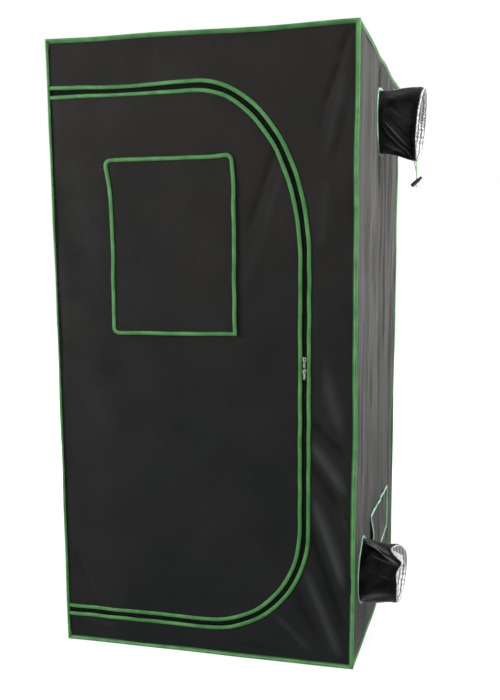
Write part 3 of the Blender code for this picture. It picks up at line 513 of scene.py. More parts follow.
class Finishes:
    """The tent's materials by the name of their slot, each made once."""

    MADE = (
        WovenCloth(), Binding(), SilverLining(), CoatedNylon(), PoleEnamel(),
        MouldedPlastic("corner_plastic", (0.020, 0.020, 0.021)), ZipTape(), ZipMetal(), ClearVinyl(),
        InsectMesh(), BraidedCord(),
        MouldedPlastic("lock_plastic", (0.012, 0.012, 0.013), low=0.30, high=0.44),
        Binding("port_binding", (0.170, 0.470, 0.270), (0.470, 0.800, 0.580)),
        SilverLining("port_film", crinkle=0.35, crease_shade=0.62, metal=0.35),
        MouldedPlastic("zip_teeth", (0.006, 0.006, 0.006), low=0.40, high=0.55, gloss=0.10),
        Binding("green_thread", (0.070, 0.260, 0.060), (0.130, 0.380, 0.110)),
    )

    def __init__(self) -> None:
        """Builds every finish."""
        self.by_slot = {finish.name: finish.material() for finish in self.MADE}

    def __getitem__(self, slot: str) -> bpy.types.Material:
        """The material of a slot."""
        return self.by_slot[slot]


# Shapes


def neighbours(line: np.ndarray, closed: bool) -> tuple[np.ndarray, np.ndarray]:
    """The places before and after each place, carried on straight past open ends."""
    if closed:
        return np.roll(line, 1, axis=0), np.roll(line, -1, axis=0)
    before = np.vstack([2 * line[0] - line[1], line[:-1]])
    return before, np.vstack([line[1:], 2 * line[-1] - line[-2]])


def unit(rows: np.ndarray) -> np.ndarray:
    """Each row's direction, with a length of one."""
    return rows / np.linalg.norm(rows, axis=1)[:, None]


def distances(line: np.ndarray) -> np.ndarray:
    """Each place's distance along the line from its start."""
    return np.concatenate([[0], np.cumsum(np.linalg.norm(np.diff(line, axis=0), axis=1))])


def eased(share: np.ndarray) -> np.ndarray:
    """A share between 0 and 1 that starts and ends gently."""
    return share * share * (3 - 2 * share)


def angle_from(angle: np.ndarray, place: np.ndarray | float) -> np.ndarray:
    """Degrees from a place on a circle, between -180 and 180."""
    return (angle - place + 180) % 360 - 180


def curved(a: np.ndarray, b: np.ndarray, c: np.ndarray, d: np.ndarray, t: np.ndarray | float) -> np.ndarray:
    """The value at a share t of the way from b to c, on a smooth curve through all four."""
    return b + t * (c - a + t * (2 * a - 5 * b + 4 * c - d + t * (3 * b - 3 * c + d - a))) / 2


def offset_path(points: Sequence[Sequence[float]], distance: float, closed: bool) -> np.ndarray:
    """Moves a path to its left.

    Args:
        points: the path's places.
        distance: how far it moves.
        closed: whether its end joins its start.

    Returns:
        The moved places, mitred at corners.
    """
    line = np.asarray(points, float)
    before, after = neighbours(line, closed)
    first, second = unit(line - before), unit(after - line)
    left_first = np.stack([-first[:, 1], first[:, 0]], axis=1)
    left_second = np.stack([-second[:, 1], second[:, 0]], axis=1)
    middle = unit(left_first + left_second)
    reach = distance / (middle * left_first).sum(axis=1)
    return line + middle * reach[:, None]


def arc(centre: Sequence[float], radii: Sequence[float], start: float, end: float, steps: int) -> Path:
    """Places on a round or oval arc in degrees, both ends included."""
    turns = np.radians(np.linspace(start, end, steps + 1))
    return [(centre[0] + radii[0] * math.cos(a), centre[1] + radii[1] * math.sin(a)) for a in turns]


def circle(centre: Sequence[float], radius: float, steps: int) -> Path:
    """Places round a circle, without a second one at the start."""
    return arc(centre, (radius, radius), 0, 360, steps)[:-1]


def rounded_rectangle(
    low: Sequence[float], high: Sequence[float], radii: Sequence[float] = (0, 0, 0, 0)
) -> Path:
    """A rectangle with a corner radius each for low left, low right, top right and top left.

    Args:
        low: its lowest corner.
        high: its highest corner.
        radii: the corners' radii, 0 for a sharp one.

    Returns:
        The places round it.
    """
    corners = (
        (low[0], low[1], 1, 1, 180), (high[0], low[1], -1, 1, 270),
        (high[0], high[1], -1, -1, 0), (low[0], high[1], 1, -1, 90),
    )
    points: Path = []
    for (x, y, inward_x, inward_y, start), radius in zip(corners, radii):
        if radius == 0:
            points.append((x, y))
        else:
            centre = (x + inward_x * radius, y + inward_y * radius)
            points += arc(centre, (radius, radius), start, start + 90, 6)
    return points


def grown(low: Sequence[float], high: Sequence[float], grow: float, radii: Sequence[float]) -> Path:
    """A rounded rectangle that reaches a distance past its corners."""
    return rounded_rectangle([place - grow for place in low], [place + grow for place in high], radii)


def spaced(
    points: Sequence[Sequence[float]], spacing: float, closed: bool, corner_room: float = 0.0
) -> np.ndarray:
    """Splits a path's long runs.

    Args:
        points: the path's places.
        spacing: the longest run that is left.
        closed: whether its end joins its start.
        corner_room: the least distance that new places keep from the old ones.

    Returns:
        The old places with the new ones between them.
    """
    line = [np.asarray(p, float) for p in points]
    pairs = list(zip(line, line[1:] + ([line[0]] if closed else [])))
    out = []
    for a, b in pairs:
        out.append(a)
        length = float(np.linalg.norm(b - a))
        room = length - 2 * corner_room
        count = int(room / spacing) if length > spacing and room > 0 else 0
        for i in range(count + 1 if count else 0):
            out.append(a + (b - a) * (corner_room + room * i / max(count, 1)) / length)
    if not closed:
        out.append(line[-1])
    kept = [out[0]]
    for point in out[1:]:
        if np.linalg.norm(point - kept[-1]) > TOUCHING:
            kept.append(point)
    if closed and np.linalg.norm(kept[-1] - kept[0]) < TOUCHING:
        kept.pop()
    return np.array(kept)


def inside(polygon: np.ndarray, places: np.ndarray) -> np.ndarray:
    """Whether each place lies in a closed outline.

    Args:
        polygon: the outline's places.
        places: the places to test.

    Returns:
        True or false for each place.
    """
    x, y = places[:, 0], places[:, 1]
    result = np.zeros(len(places), bool)
    for (ax, ay), (bx, by) in zip(polygon, np.roll(polygon, -1, axis=0)):
        crosses = (ay > y) != (by > y)
        slope = (bx - ax) / (by - ay) if by != ay else 0.0
        result ^= crosses & (x < ax + (y - ay) * slope)
    return result


def within(loops: Sequence[np.ndarray], places: np.ndarray) -> np.ndarray:
    """Whether each place lies in the first outline, and in none of the holes that follow it."""
    keep = inside(loops[0], places)
    for hole in loops[1:]:
        keep &= ~inside(hole, places)
    return keep


def placed(name: str, data: bpy.types.ID) -> bpy.types.Object:
    """A new object in the scene."""
    made = bpy.data.objects.new(name, data)
    bpy.context.collection.objects.link(made)
    return made


@dataclass
class Draft:
    """The points, faces and cloth coordinates of one piece while it is being made."""

    points: list[np.ndarray] = field(default_factory=list)
    places: list[np.ndarray] = field(default_factory=list)
    rises: list[np.ndarray] = field(default_factory=list)
    faces: list[tuple[int, ...]] = field(default_factory=list)
    slots: list[int] = field(default_factory=list)
    count: int = 0

    def add(
        self,
        points: np.ndarray,
        places: np.ndarray,
        faces: Iterable[Sequence[int]],
        slot: int = 0,
        rise: np.ndarray | float = 0.0,
    ) -> None:
        """Adds points, their cloth coordinates and faces.

        Args:
            points: places in space.
            places: cloth coordinates in metres.
            faces: corners by their number among these points.
            slot: the number of the material.
            rise: how far each point is up a fold, from -1 in a groove to 1 on a ridge.
        """
        self.points.append(np.asarray(points, float).reshape(-1, 3))
        self.places.append(np.asarray(places, float).reshape(-1, 2))
        self.rises.append(np.broadcast_to(np.asarray(rise, float), np.shape(points)[:-1]).ravel())
        for face in faces:
            self.faces.append(tuple(i + self.count for i in face))
            self.slots.append(slot)
        self.count += len(self.points[-1])

    def grid(self, points: np.ndarray, places: np.ndarray, rise: np.ndarray | float = 0.0) -> None:
        """Adds a sheet of four-sided faces from rows of points, their cloth coordinates and their rise.

        Args:
            points: rows of places in space.
            places: rows of cloth coordinates.
            rise: how far each point is up a fold.
        """
        rows, columns = points.shape[:2]
        faces = [
            (r * columns + c, r * columns + c + 1, (r + 1) * columns + c + 1, (r + 1) * columns + c)
            for r in range(rows - 1)
            for c in range(columns - 1)
        ]
        self.add(points, places, faces, rise=rise)

    def tube(
        self,
        points: np.ndarray,
        around: np.ndarray,
        along: np.ndarray,
        rise: np.ndarray | float = 0.0,
        capped: bool = True,
    ) -> None:
        """Adds a tube.

        Args:
            points: rows of points, each of which ends where it starts.
            around: the cloth coordinate of each place in a row.
            along: the cloth coordinate of each row.
            rise: the rise of each place in a row.
            capped: whether both ends are closed.
        """
        places = np.stack(np.broadcast_arrays(around[None, :], along[:, None]), axis=-1)
        self.grid(points, places, np.broadcast_to(rise, points.shape[:2]))
        ring = tuple(range(points.shape[1] - 1))
        for end in (0, -1) if capped else ():
            self.add(points[end, :-1], places[end, :-1], [ring])

    def piece(
        self, name: str, materials: Sequence[bpy.types.Material], sharp: float = 55.0
    ) -> bpy.types.Object:
        """Closes the seams and makes the object.

        Args:
            name: the piece's name.
            materials: its materials in the order of the slots.
            sharp: the angle in degrees past which an edge stays sharp.

        Returns:
            The object, at the origin.
        """
        mesh = bpy.data.meshes.new(name)
        mesh.from_pydata(np.vstack(self.points).tolist(), [], self.faces)
        layer = mesh.uv_layers.new(name="cloth")
        places = np.vstack(self.places)
        corners = np.empty(len(mesh.loops), np.int32)
        mesh.loops.foreach_get("vertex_index", corners)
        layer.data.foreach_set("uv", places[corners].astype(np.float32).ravel())
        mesh.polygons.foreach_set("material_index", np.array(self.slots, np.int32))
        rise = mesh.attributes.new("rise", "FLOAT", "POINT")
        rise.data.foreach_set("value", np.concatenate(self.rises).astype(np.float32))
        bm = bmesh.new()
        bm.from_mesh(mesh)
        bmesh.ops.remove_doubles(bm, verts=bm.verts, dist=TOUCHING)
        bmesh.ops.dissolve_degenerate(bm, edges=bm.edges, dist=1e-7)
        bmesh.ops.recalc_face_normals(bm, faces=bm.faces)
        bm.to_mesh(mesh)
        bm.free()
        mesh.shade_smooth()
        mesh.set_sharp_from_angle(angle=math.radians(sharp))
        for material in materials:
            mesh.materials.append(material)
        return placed(name, mesh)


@dataclass(frozen=True)
class Fold:
    """A soft ridge in the cloth along a line, or a groove where its height is below zero."""

    start: tuple[float, float]
    end: tuple[float, float]
    width: float
    height: float
    overrun_share: float = 0.15
    fade_share: float = 0.4

    def lift(self, u: np.ndarray, v: np.ndarray) -> np.ndarray:
        """How far the cloth stands out at each place.

        Args:
            u: distances along the wall's first direction.
            v: distances along its second.

        Returns:
            The fold's height at each place.
        """
        along = np.array(self.end) - np.array(self.start)
        length = float(np.linalg.norm(along))
        along /= length
        du, dv = u - self.start[0], v - self.start[1]
        run = (du * along[0] + dv * along[1]) / length
        side = (dv * along[0] - du * along[1]) / self.width
        room = np.minimum(run, 1 - run) + self.overrun_share
        return self.height * np.exp(-(np.abs(side) ** 1.2)) * eased(np.clip(room / self.fade_share, 0, 1))


@dataclass(frozen=True)
class Tug:
    """A place where the whole sewn cover is pulled a little out of line."""

    centre: tuple[float, float, float]
    reach: tuple[float, float, float]
    shift: tuple[float, float, float]

    def move(self, points: np.ndarray) -> np.ndarray:
        """How far each point is shifted."""
        away = (((points - np.array(self.centre)) / np.array(self.reach)) ** 2).sum(axis=-1)
        return np.exp(-away)[..., None] * np.array(self.shift)


TUGS = (
    Tug((-0.34, -0.50, 1.995), (0.13, 0.006, 0.030), (0.0, 0.0, -0.0045)),
    Tug((0.20, -0.50, 1.995), (0.17, 0.006, 0.030), (0.0, 0.0, -0.0060)),
    Tug((0.5020, -0.29, 1.995), (0.0055, 0.070, 0.030), (0.0, 0.0, -0.0030)),
    Tug((0.5020, -0.05, 1.995), (0.0055, 0.070, 0.030), (0.0, 0.0, -0.0065)),
    Tug((0.5020, 0.29, 1.995), (0.0055, 0.120, 0.030), (0.0, 0.0, -0.0075)),
    Tug((-0.50, -0.50, 1.15), (0.030, 0.030, 0.60), (0.0040, 0.0, 0.0)),
    Tug((0.50, -0.50, 1.62), (0.020, 0.020, 0.26), (-0.0030, 0.0, 0.0)),
    Tug((0.50, -0.50, 0.72), (0.020, 0.020, 0.20), (0.0030, 0.0, 0.0)),
    Tug((0.36, -0.50, 0.005), (0.13, 0.050, 0.050), (0.0, -0.0060, 0.0)),
    Tug((-0.25, -0.50, 1.85), (0.13, 0.050, 0.022), (0.0, 0.0, -0.0060)),
    Tug((-0.31, -0.50, 1.64), (0.060, 0.050, 0.095), (-0.0160, 0.0, -0.0020)),
    Tug((-0.30, -0.50, 1.36), (0.050, 0.050, 0.080), (0.0030, 0.0, 0.0)),
    Tug((0.13, -0.50, 1.65), (0.060, 0.050, 0.070), (-0.0090, 0.0, 0.0060)),
    Tug((0.12, -0.50, 1.06), (0.10, 0.050, 0.050), (0.0020, 0.0, 0.0030)),
)


def tugged(points: np.ndarray) -> np.ndarray:
    """Points of the cover with every tug's shift."""
    return points + sum(tug.move(points) for tug in TUGS)


@dataclass
class Wall:
    """One flat side of the cover, with the folds that its cloth hangs in.

    u and v run along the side, and the cloth's outer face lies where the third distance is zero.
    """

    origin: tuple[float, float, float]
    u: tuple[float, float, float]
    v: tuple[float, float, float]
    low: tuple[float, float]
    high: tuple[float, float]
    folds: list[Fold] = field(default_factory=list)
    waves: float = 0.0
    calm: list[tuple[float, float, float]] = field(default_factory=list)
    seed: int = 1
    edge: float = 0.05
    full_rise: float = 0.006
    wave_count: int = 7
    wave_rates: tuple[float, float] = (7, 24)

    @property
    def normal(self) -> np.ndarray:
        """The outward direction."""
        return np.cross(np.array(self.u, float), np.array(self.v, float))

    def relief(self, u: np.ndarray, v: np.ndarray) -> np.ndarray:
        """How far the cloth stands out of its plane at each place, none at its edges and calm spots.

        Args:
            u: distances along the first direction.
            v: distances along the second.

        Returns:
            The distances.
        """
        lift = np.zeros(np.broadcast(u, v).shape)
        rng = np.random.default_rng(self.seed)
        for _ in range(self.wave_count):
            turn, phase = rng.uniform(0, 2 * math.pi, 2)
            rate = rng.uniform(*self.wave_rates)
            lift += np.sin(rate * (u * math.cos(turn) + v * math.sin(turn)) + phase) * self.waves / 3
        return (lift + self.folded(u, v)) * self.freedom(u, v)

    def folded(self, u: np.ndarray, v: np.ndarray) -> np.ndarray:
        """How far the folds alone would lift the cloth."""
        return sum((fold.lift(u, v) for fold in self.folds), np.zeros(np.broadcast(u, v).shape))

    def freedom(self, u: np.ndarray, v: np.ndarray) -> np.ndarray:
        """The share of its folds that the cloth may show, none at its edges and calm spots.

        Args:
            u: distances along the first direction.
            v: distances along the second.

        Returns:
            A share from 0 to 1 for each place.
        """
        margins = np.minimum.reduce([u - self.low[0], self.high[0] - u, v - self.low[1], self.high[1] - v])
        share = eased(np.clip(margins / self.edge, 0, 1))
        for centre_u, centre_v, radius in self.calm:
            away = np.hypot(u - centre_u, v - centre_v) / radius
            share = share * (1 - np.exp(-(away**4)))
        return share

    def rise(self, u: np.ndarray, v: np.ndarray) -> np.ndarray:
        """How far up a fold each place is, from -1 in a groove to 1 on a ridge."""
        return np.clip(self.folded(u, v) * self.freedom(u, v) / self.full_rise, -1, 1)

    def at(self, u: np.ndarray, v: np.ndarray, out: np.ndarray | float) -> np.ndarray:
        """Places on the cloth.

        Args:
            u: distances along the first direction.
            v: distances along the second.
            out: distances out of the cloth's outer face.

        Returns:
            Points in space, one row each.
        """
        u, v = np.asarray(u, float), np.asarray(v, float)
        along_u, along_v = np.array(self.u, float), np.array(self.v, float)
        flat = np.array(self.origin) + u[..., None] * along_u + v[..., None] * along_v
        return tugged(flat) + (out + self.relief(u, v))[..., None] * self.normal


@dataclass
class ClothPanel:
    """A flat-cut piece of cloth on a wall, with holes: cloth outside, lining inside."""

    wall: Wall
    outline: Sequence[Sequence[float]]
    holes: Sequence[Sequence[Sequence[float]]] = ()
    near: float = -0.001
    far: float = 0.0
    step: tuple[float, float] = (0.012, 0.012)
    rim: tuple[float, ...] = ()
    edge_room: float = 0.35
    block: int = 2000

    def triangles(self) -> tuple[np.ndarray, list[tuple[int, ...]], list[list[int]]]:
        """Cuts the cloth into triangles.

        Returns:
            The places, the triangles, and the places' numbers along each edge of the cloth.
        """
        spacing = max(self.step)
        loops = [spaced(loop, spacing, closed=True) for loop in (self.outline, *self.holes)]
        low, high = loops[0].min(axis=0), loops[0].max(axis=0)
        columns = np.arange(low[0] + self.step[0] / 2, high[0], self.step[0])
        rows = np.arange(low[1] + self.step[1] / 2, high[1], self.step[1])
        grid = np.stack(np.meshgrid(columns, rows), axis=-1)
        grid[1::2, :, 0] += self.step[0] / 2
        grid = grid.reshape(-1, 2)
        grid = grid[within(loops, grid)]
        scale = np.array(self.step)
        rings = [offset_path(loops[0], inset, closed=True) for inset in self.rim]
        edge = np.vstack([*loops, *rings]) / scale
        clear = np.ones(len(grid), bool)
        for first in range(0, len(grid), self.block):
            some = slice(first, first + self.block)
            gap = grid[some, None] / scale - edge[None]
            clear[some] = (gap**2).sum(axis=-1).min(axis=1) > self.edge_room
        grid = grid[clear]
        places = np.vstack([*loops, *rings, grid])
        rims, edges, start = [], [], 0
        for loop in loops:
            ring = list(range(start, start + len(loop)))
            edges += list(zip(ring, ring[1:] + ring[:1]))
            rims.append(ring)
            start += len(loop)
        result = delaunay_2d_cdt([Vector(p) for p in places], edges, [], 0, 1e-7)
        made = np.array([tuple(p) for p in result[0]])
        origin = {}
        for index, sources in enumerate(result[3]):
            for source in sources:
                origin[source] = index
        corners = np.array([tuple(face) for face in result[2]])
        faces = [tuple(face) for face in corners[within(loops, made[corners].mean(axis=1))]]
        return made, faces, [[origin[i] for i in ring] for ring in rims]

    def draft(self, lift: Surface | None = None) -> Draft:
        """Sews the cloth's two faces together along its edges.

        Args:
            lift: how far the cloth is raised besides the wall's own folds.

        Returns:
            The draft, with the outside in slot 0 and the inside in slot 1.
        """
        places, faces, rims = self.triangles()
        u, v = places[:, 0], places[:, 1]
        extra = lift(u, v) if lift else 0.0
        draft = Draft()
        rise = self.wall.rise(u, v)
        outer = self.wall.at(u, v, self.far + extra)
        inner = self.wall.at(u, v, self.near + extra)
        draft.add(outer, places, faces, 0, rise)
        draft.add(inner, places, [face[::-1] for face in faces], 1, rise)
        for ring in rims:
            ring = ring + ring[:1]
            both = np.stack([outer[ring], inner[ring]])
            draft.grid(both, np.stack([places[ring]] * 2), np.stack([rise[ring]] * 2))
        return draft


@dataclass
class Course:
    """Where a strip of binding runs.

    The path is its middle line, and the back is its distance from the wall's outer face. The lift is how far
    the cloth below is raised besides the wall's own folds.
    """

    wall: Wall
    path: Sequence[Sequence[float]]
    back: float
    closed: bool = False
    lift: Surface | None = None

    def raised(self, places: np.ndarray) -> np.ndarray | float:
        """How far the cloth below is raised at each place."""
        return self.lift(*places.T) if self.lift else 0.0


@dataclass(frozen=True)
class BindingStrip:
    """A strip of folded binding, crowned between two stitched margins.

    The shares of its section are given from one edge to beside the crown: sideways, outward, and the rise.
    """

    width: float = 0.013
    height: float = 0.003
    wander: float = 0.0006
    seed: int = 3
    seams: tuple[float, float] = (-0.0048, 0.0048)
    seam_share: float = 0.86
    seam_step: float = 0.010
    corner_share: float = 0.62
    join: float = 0.05
    wander_count: int = 5
    wander_rates: tuple[float, float] = (12, 60)
    section_shares: tuple[tuple[float, float, float], ...] = (
        (-1.0, 0.0, -0.9), (-1.0, 0.18, -0.9), (-0.90, 0.34, -0.7), (-0.80, 0.42, -0.5),
        (-0.70, 0.74, -0.1), (-0.42, 0.96, 0.0),
    )

    def section(self) -> np.ndarray:
        """Places round the strip from edge to edge, as distances sideways and outward, and their rise."""
        mirrored = [(-side, out, rise) for side, out, rise in self.section_shares[::-1]]
        shares = np.array([*self.section_shares, (0.0, 1.0, 0.0), *mirrored])
        return shares * (self.width / 2, self.height, 1.0)

    def draft(self, course: Course) -> Draft:
        """Lays the strip.

        Args:
            course: where it runs.

        Returns:
            The draft.
        """
        wall, closed = course.wall, course.closed
        line = spaced(course.path, SIZES.line_step, closed, corner_room=self.width * self.corner_share)
        along = distances(line)
        rng = np.random.default_rng(self.seed)
        drift = np.zeros(len(line))
        for _ in range(self.wander_count):
            rate, phase = rng.uniform(*self.wander_rates), rng.uniform(0, 2 * math.pi)
            drift += np.sin(along * rate + phase) * self.wander / 2
        if closed:
            drift *= np.clip(np.minimum(along, along[-1] - along) / self.join, 0, 1)
        shift = unit(offset_path(line, 1.0, closed) - line) * drift[:, None]
        raised, section = course.raised(line), self.section()
        rows = [
            wall.at(*(offset_path(line, side, closed) + shift).T, course.back + out + raised)
            for side, out, _ in section
        ]
        points = np.stack([*rows, rows[0]], axis=1)
        around = distances(section[:, :2])
        around = np.append(around, around[-1] + self.width)
        if closed:
            points = np.concatenate([points, points[:1]], axis=0)
            along = np.append(along, along[-1] + np.linalg.norm(line[0] - line[-1]))
        draft = Draft()
        draft.tube(points, around, along, np.append(section[:, 2], section[0, 2]), capped=not closed)
        return draft

    def stitch_lines(self, course: Course) -> list[np.ndarray]:
        """The places along each row of stitches.

        Args:
            course: where the strip runs.

        Returns:
            The rows.
        """
        base = spaced(course.path, self.seam_step, course.closed)
        out = course.back + self.height * self.seam_share
        rows = []
        for side in self.seams:
            row = offset_path(base, side, course.closed)
            if course.closed:
                row = np.vstack([row, row[:1]])
            rows.append(course.wall.at(*row.T, out + course.raised(row)))
        return rows


def report(piece: bpy.types.Object, body: Body, replaced: Sequence[str] = ()) -> None:
    """Gives a finished piece its body, and hides the nodes that it stands for.

    Args:
        piece: the finished object.
        body: the body that it rides on.
        replaced: the nodes that it stands for.
    """
    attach(piece, body.value)
    if replaced:
        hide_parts(*replaced)
    log.info("%s rides on %s, %d faces", piece.name, body.value, len(piece.data.polygons))


def report_blended(
    piece: bpy.types.Object,
    bodies: tuple[Body, Body],
    start: Sequence[float],
    end: Sequence[float],
    slot: str,
    replaced: Sequence[str],
) -> None:
    """For cloth that lies between two bodies: bakes its place into its points, hides the nodes that it stands
    for and logs the two bodies.

    Args:
        piece: the finished object.
        bodies: the bodies that its cloth bends from and to.
        start: where the bend starts; not used.
        end: where it ends; not used.
        slot: the record's material slot; not used.
        replaced: the nodes that it stands for.
    """
    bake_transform(piece)
    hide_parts(*replaced)
    log.info("%s bends from %s to %s", piece.name, bodies[0].value, bodies[1].value)


# The cover's sides


class Side(Enum):
    """The sides of the cover."""

    FRONT = "front"
    BACK = "back"
    LEFT = "left"
    RIGHT = "right"
    ROOF = "roof"
    GROUND = "ground"


@dataclass(frozen=True)
class Sizes:
    """The cover's sizes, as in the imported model, and the spacing of its cloth's points."""

    half: float = 0.5
    height: float = 2.0
    fit: float = 0.0003
    fabric: float = 0.001
    piping: float = 0.010
    zip_top: float = 1.835
    zip_bottom: float = 0.109
    zip_right: float = 0.340
    top_corner: tuple[float, float] = (0.340, 0.527)
    bottom_corner: tuple[float, float] = (0.320, 0.341)
    trim_spacing: float = 0.028
    cloth_gap: float = 0.018
    door_hinge: tuple[float, float, float] = (-0.4947, -0.5053, 0.972)
    window_low: tuple[float, float] = (-0.295, 1.075)
    window_high: tuple[float, float] = (0.115, 1.622)
    window_corner: float = 0.018
    window_hem: float = 0.025
    pane_hem: float = 0.013
    flap_lap: float = 0.0053
    vent_low: tuple[float, float] = (-0.120, 0.230)
    vent_high: tuple[float, float] = (0.345, 0.400)
    vent_corner: float = 0.012
    vent_hem: float = 0.020
    screen_hem: float = 0.010
    vent_lap: float = 0.0033
    film: float = 0.0005
    bend_out: float = 0.0046
    port_radius: float = 0.105
    upper_port: tuple[float, float] = (0.0, 1.785)
    lower_port: tuple[float, float] = (-0.310, 0.269)
    line_step: float = 0.012
    front_step: tuple[float, float] = (0.0105, 0.0105)
    film_step: tuple[float, float] = (0.02, 0.02)

    @property
    def panel(self) -> float:
        """How far a wall's cloth reaches from its middle."""
        return self.half - self.piping / 2 - self.fit

    @property
    def wall_span(self) -> tuple[float, float]:
        """The heights of a wall's lower and upper edge."""
        return self.piping + self.fit, self.height - self.piping - self.fit

    @property
    def behind(self) -> float:
        """How far out of a wall's outer face the pieces behind its cloth start, below zero."""
        return -self.fabric - self.fit

    def door_path(self, offset: float) -> Path:
        """The zip's line round the door, moved out by a distance, from top left to bottom left.

        Args:
            offset: the distance, below zero towards the door.

        Returns:
            The places along it.
        """
        top, bottom = self.top_corner, self.bottom_corner
        line: Path = [(-self.panel, self.zip_top)]
        line += arc((self.zip_right - top[0], self.zip_top - top[1]), top, 90, 0, 48)
        line += arc((self.zip_right - bottom[0], self.zip_bottom + bottom[1]), bottom, 0, -90, 36)
        line.append((-self.panel, self.zip_bottom))
        return [tuple(p) for p in offset_path(line, offset, closed=False)]

    def window(self, grow: float, square_corner: bool) -> Path:
        """The window's outline, grown by a distance."""
        radius = self.window_corner
        radii = (radius, 0 if square_corner else radius, radius, radius)
        return grown(self.window_low, self.window_high, grow, radii)

    def vent(self, grow: float) -> Path:
        """The vent's outline, grown by a distance."""
        return grown(self.vent_low, self.vent_high, grow, (self.vent_corner,) * 4)


SIZES = Sizes()


def streaks(seed: int, count: int, low: tuple[float, float], high: tuple[float, float]) -> list[Fold]:
    """Upright creases scattered over a wall, from a fixed seed.

    Args:
        seed: the seed.
        count: how many there are.
        low: the wall's lowest corner.
        high: its highest corner.

    Returns:
        The creases.
    """
    rng = np.random.default_rng(seed)
    folds = []
    for _ in range(count):
        across = rng.uniform(low[0], high[0])
        middle = rng.uniform(low[1], high[1])
        reach = rng.uniform(0.06, 0.40)
        lean = rng.normal(0, 0.012)
        height = rng.uniform(0.0008, 0.0034) * rng.choice((-1, 1))
        width = rng.uniform(0.007, 0.034)
        folds.append(Fold((across - lean, middle - reach), (across + lean, middle + reach), width, height))
    return folds


def cover_walls() -> dict[Side, Wall]:
    """The six sides of the cover with the folds that each hangs in.

    Returns:
        The walls by their side.
    """
    half, reach, up = SIZES.half, SIZES.panel, (0, 0, 1)
    bottom, top = SIZES.wall_span
    low, high = (-reach, bottom), (reach, top)
    front_folds = [
        Fold((0.482, 1.992), (0.440, 1.900), 0.009, -0.0058),
        Fold((0.446, 1.890), (0.396, 1.762), 0.010, -0.0056),
        Fold((0.398, 1.760), (0.386, 1.690), 0.012, -0.0028),
        Fold((0.472, 1.760), (0.420, 1.590), 0.012, -0.0034),
        Fold((0.462, 1.880), (0.400, 1.590), 0.020, 0.0026),
        Fold((0.410, 1.560), (0.390, 1.330), 0.022, 0.0020),
        Fold((0.262, 1.672), (0.205, 1.530), 0.009, -0.0052),
        Fold((0.214, 1.545), (0.160, 1.400), 0.011, -0.0044),
        Fold((0.286, 1.620), (0.215, 1.420), 0.020, 0.0020),
        Fold((0.235, 1.440), (0.120, 1.190), 0.030, 0.0014),
        Fold((0.385, 1.030), (0.462, 0.760), 0.024, 0.0040),
        Fold((0.366, 0.960), (0.380, 0.900), 0.010, -0.0030),
        Fold((0.355, 0.815), (0.480, 0.694), 0.014, -0.0060),
        Fold((0.360, 0.742), (0.486, 0.568), 0.018, 0.0064),
        Fold((0.350, 0.690), (0.480, 0.500), 0.014, -0.0050),
        Fold((0.455, 0.560), (0.486, 0.440), 0.010, 0.0040),
        Fold((0.370, 0.560), (0.484, 0.250), 0.018, 0.0066),
        Fold((0.356, 0.470), (0.478, 0.120), 0.016, -0.0066),
        Fold((0.345, 0.320), (0.462, 0.030), 0.018, 0.0050),
        Fold((0.300, 0.275), (0.400, 0.070), 0.016, -0.0044),
        Fold((0.240, 0.165), (0.370, 0.040), 0.014, 0.0026),
        Fold((0.080, 0.045), (0.330, 0.026), 0.010, -0.0030),
        Fold((-0.430, 1.700), (-0.340, 1.200), 0.120, 0.0012),
        Fold((-0.440, 1.250), (-0.340, 0.750), 0.120, 0.0010),
        Fold((-0.400, 0.900), (-0.100, 0.300), 0.080, 0.0008),
        Fold((-0.300, 1.000), (0.150, 0.550), 0.070, -0.0008),
        Fold((-0.480, 0.330), (-0.400, 0.180), 0.014, -0.0024),
        Fold((-0.480, 0.090), (-0.300, 0.060), 0.010, 0.0020),
    ]
    sliders_run = [(SIZES.zip_right, height, 0.026) for height in np.arange(0.44, 1.34, 0.021)]
    # The cloth stays flat where the sliders rest, and along the straight run that they travel
    calm = [(SIZES.zip_right, 0.982, 0.075), *sliders_run]
    roof = (0, 0, SIZES.height - SIZES.piping / 2)
    flat_low, flat_high = (-reach, -reach), (reach, reach)
    walls = {
        Side.FRONT: Wall(
            (0, -half, 0), (1, 0, 0), up, low, high, front_folds, 0.0022, calm, seed=11, edge=0.035
        ),
        Side.ROOF: Wall(roof, (1, 0, 0), (0, 1, 0), flat_low, flat_high, waves=0.0004, seed=8),
        Side.GROUND: Wall((0, 0, 0), (1, 0, 0), (0, -1, 0), flat_low, flat_high, seed=9),
    }
    for side, origin, along, count, seed, edge in (
        (Side.BACK, (0, half, 0), (-1, 0, 0), 26, 5, 0.05),
        (Side.LEFT, (-half, 0, 0), (0, -1, 0), 40, 6, 0.05),
        (Side.RIGHT, (half, 0, 0), (0, 1, 0), 84, 7, 0.03),
    ):
        folds = streaks(seed, count, low, high)
        walls[side] = Wall(origin, along, up, low, high, folds, 0.0020, seed=seed, edge=edge)
    return walls


# Repeats along a path


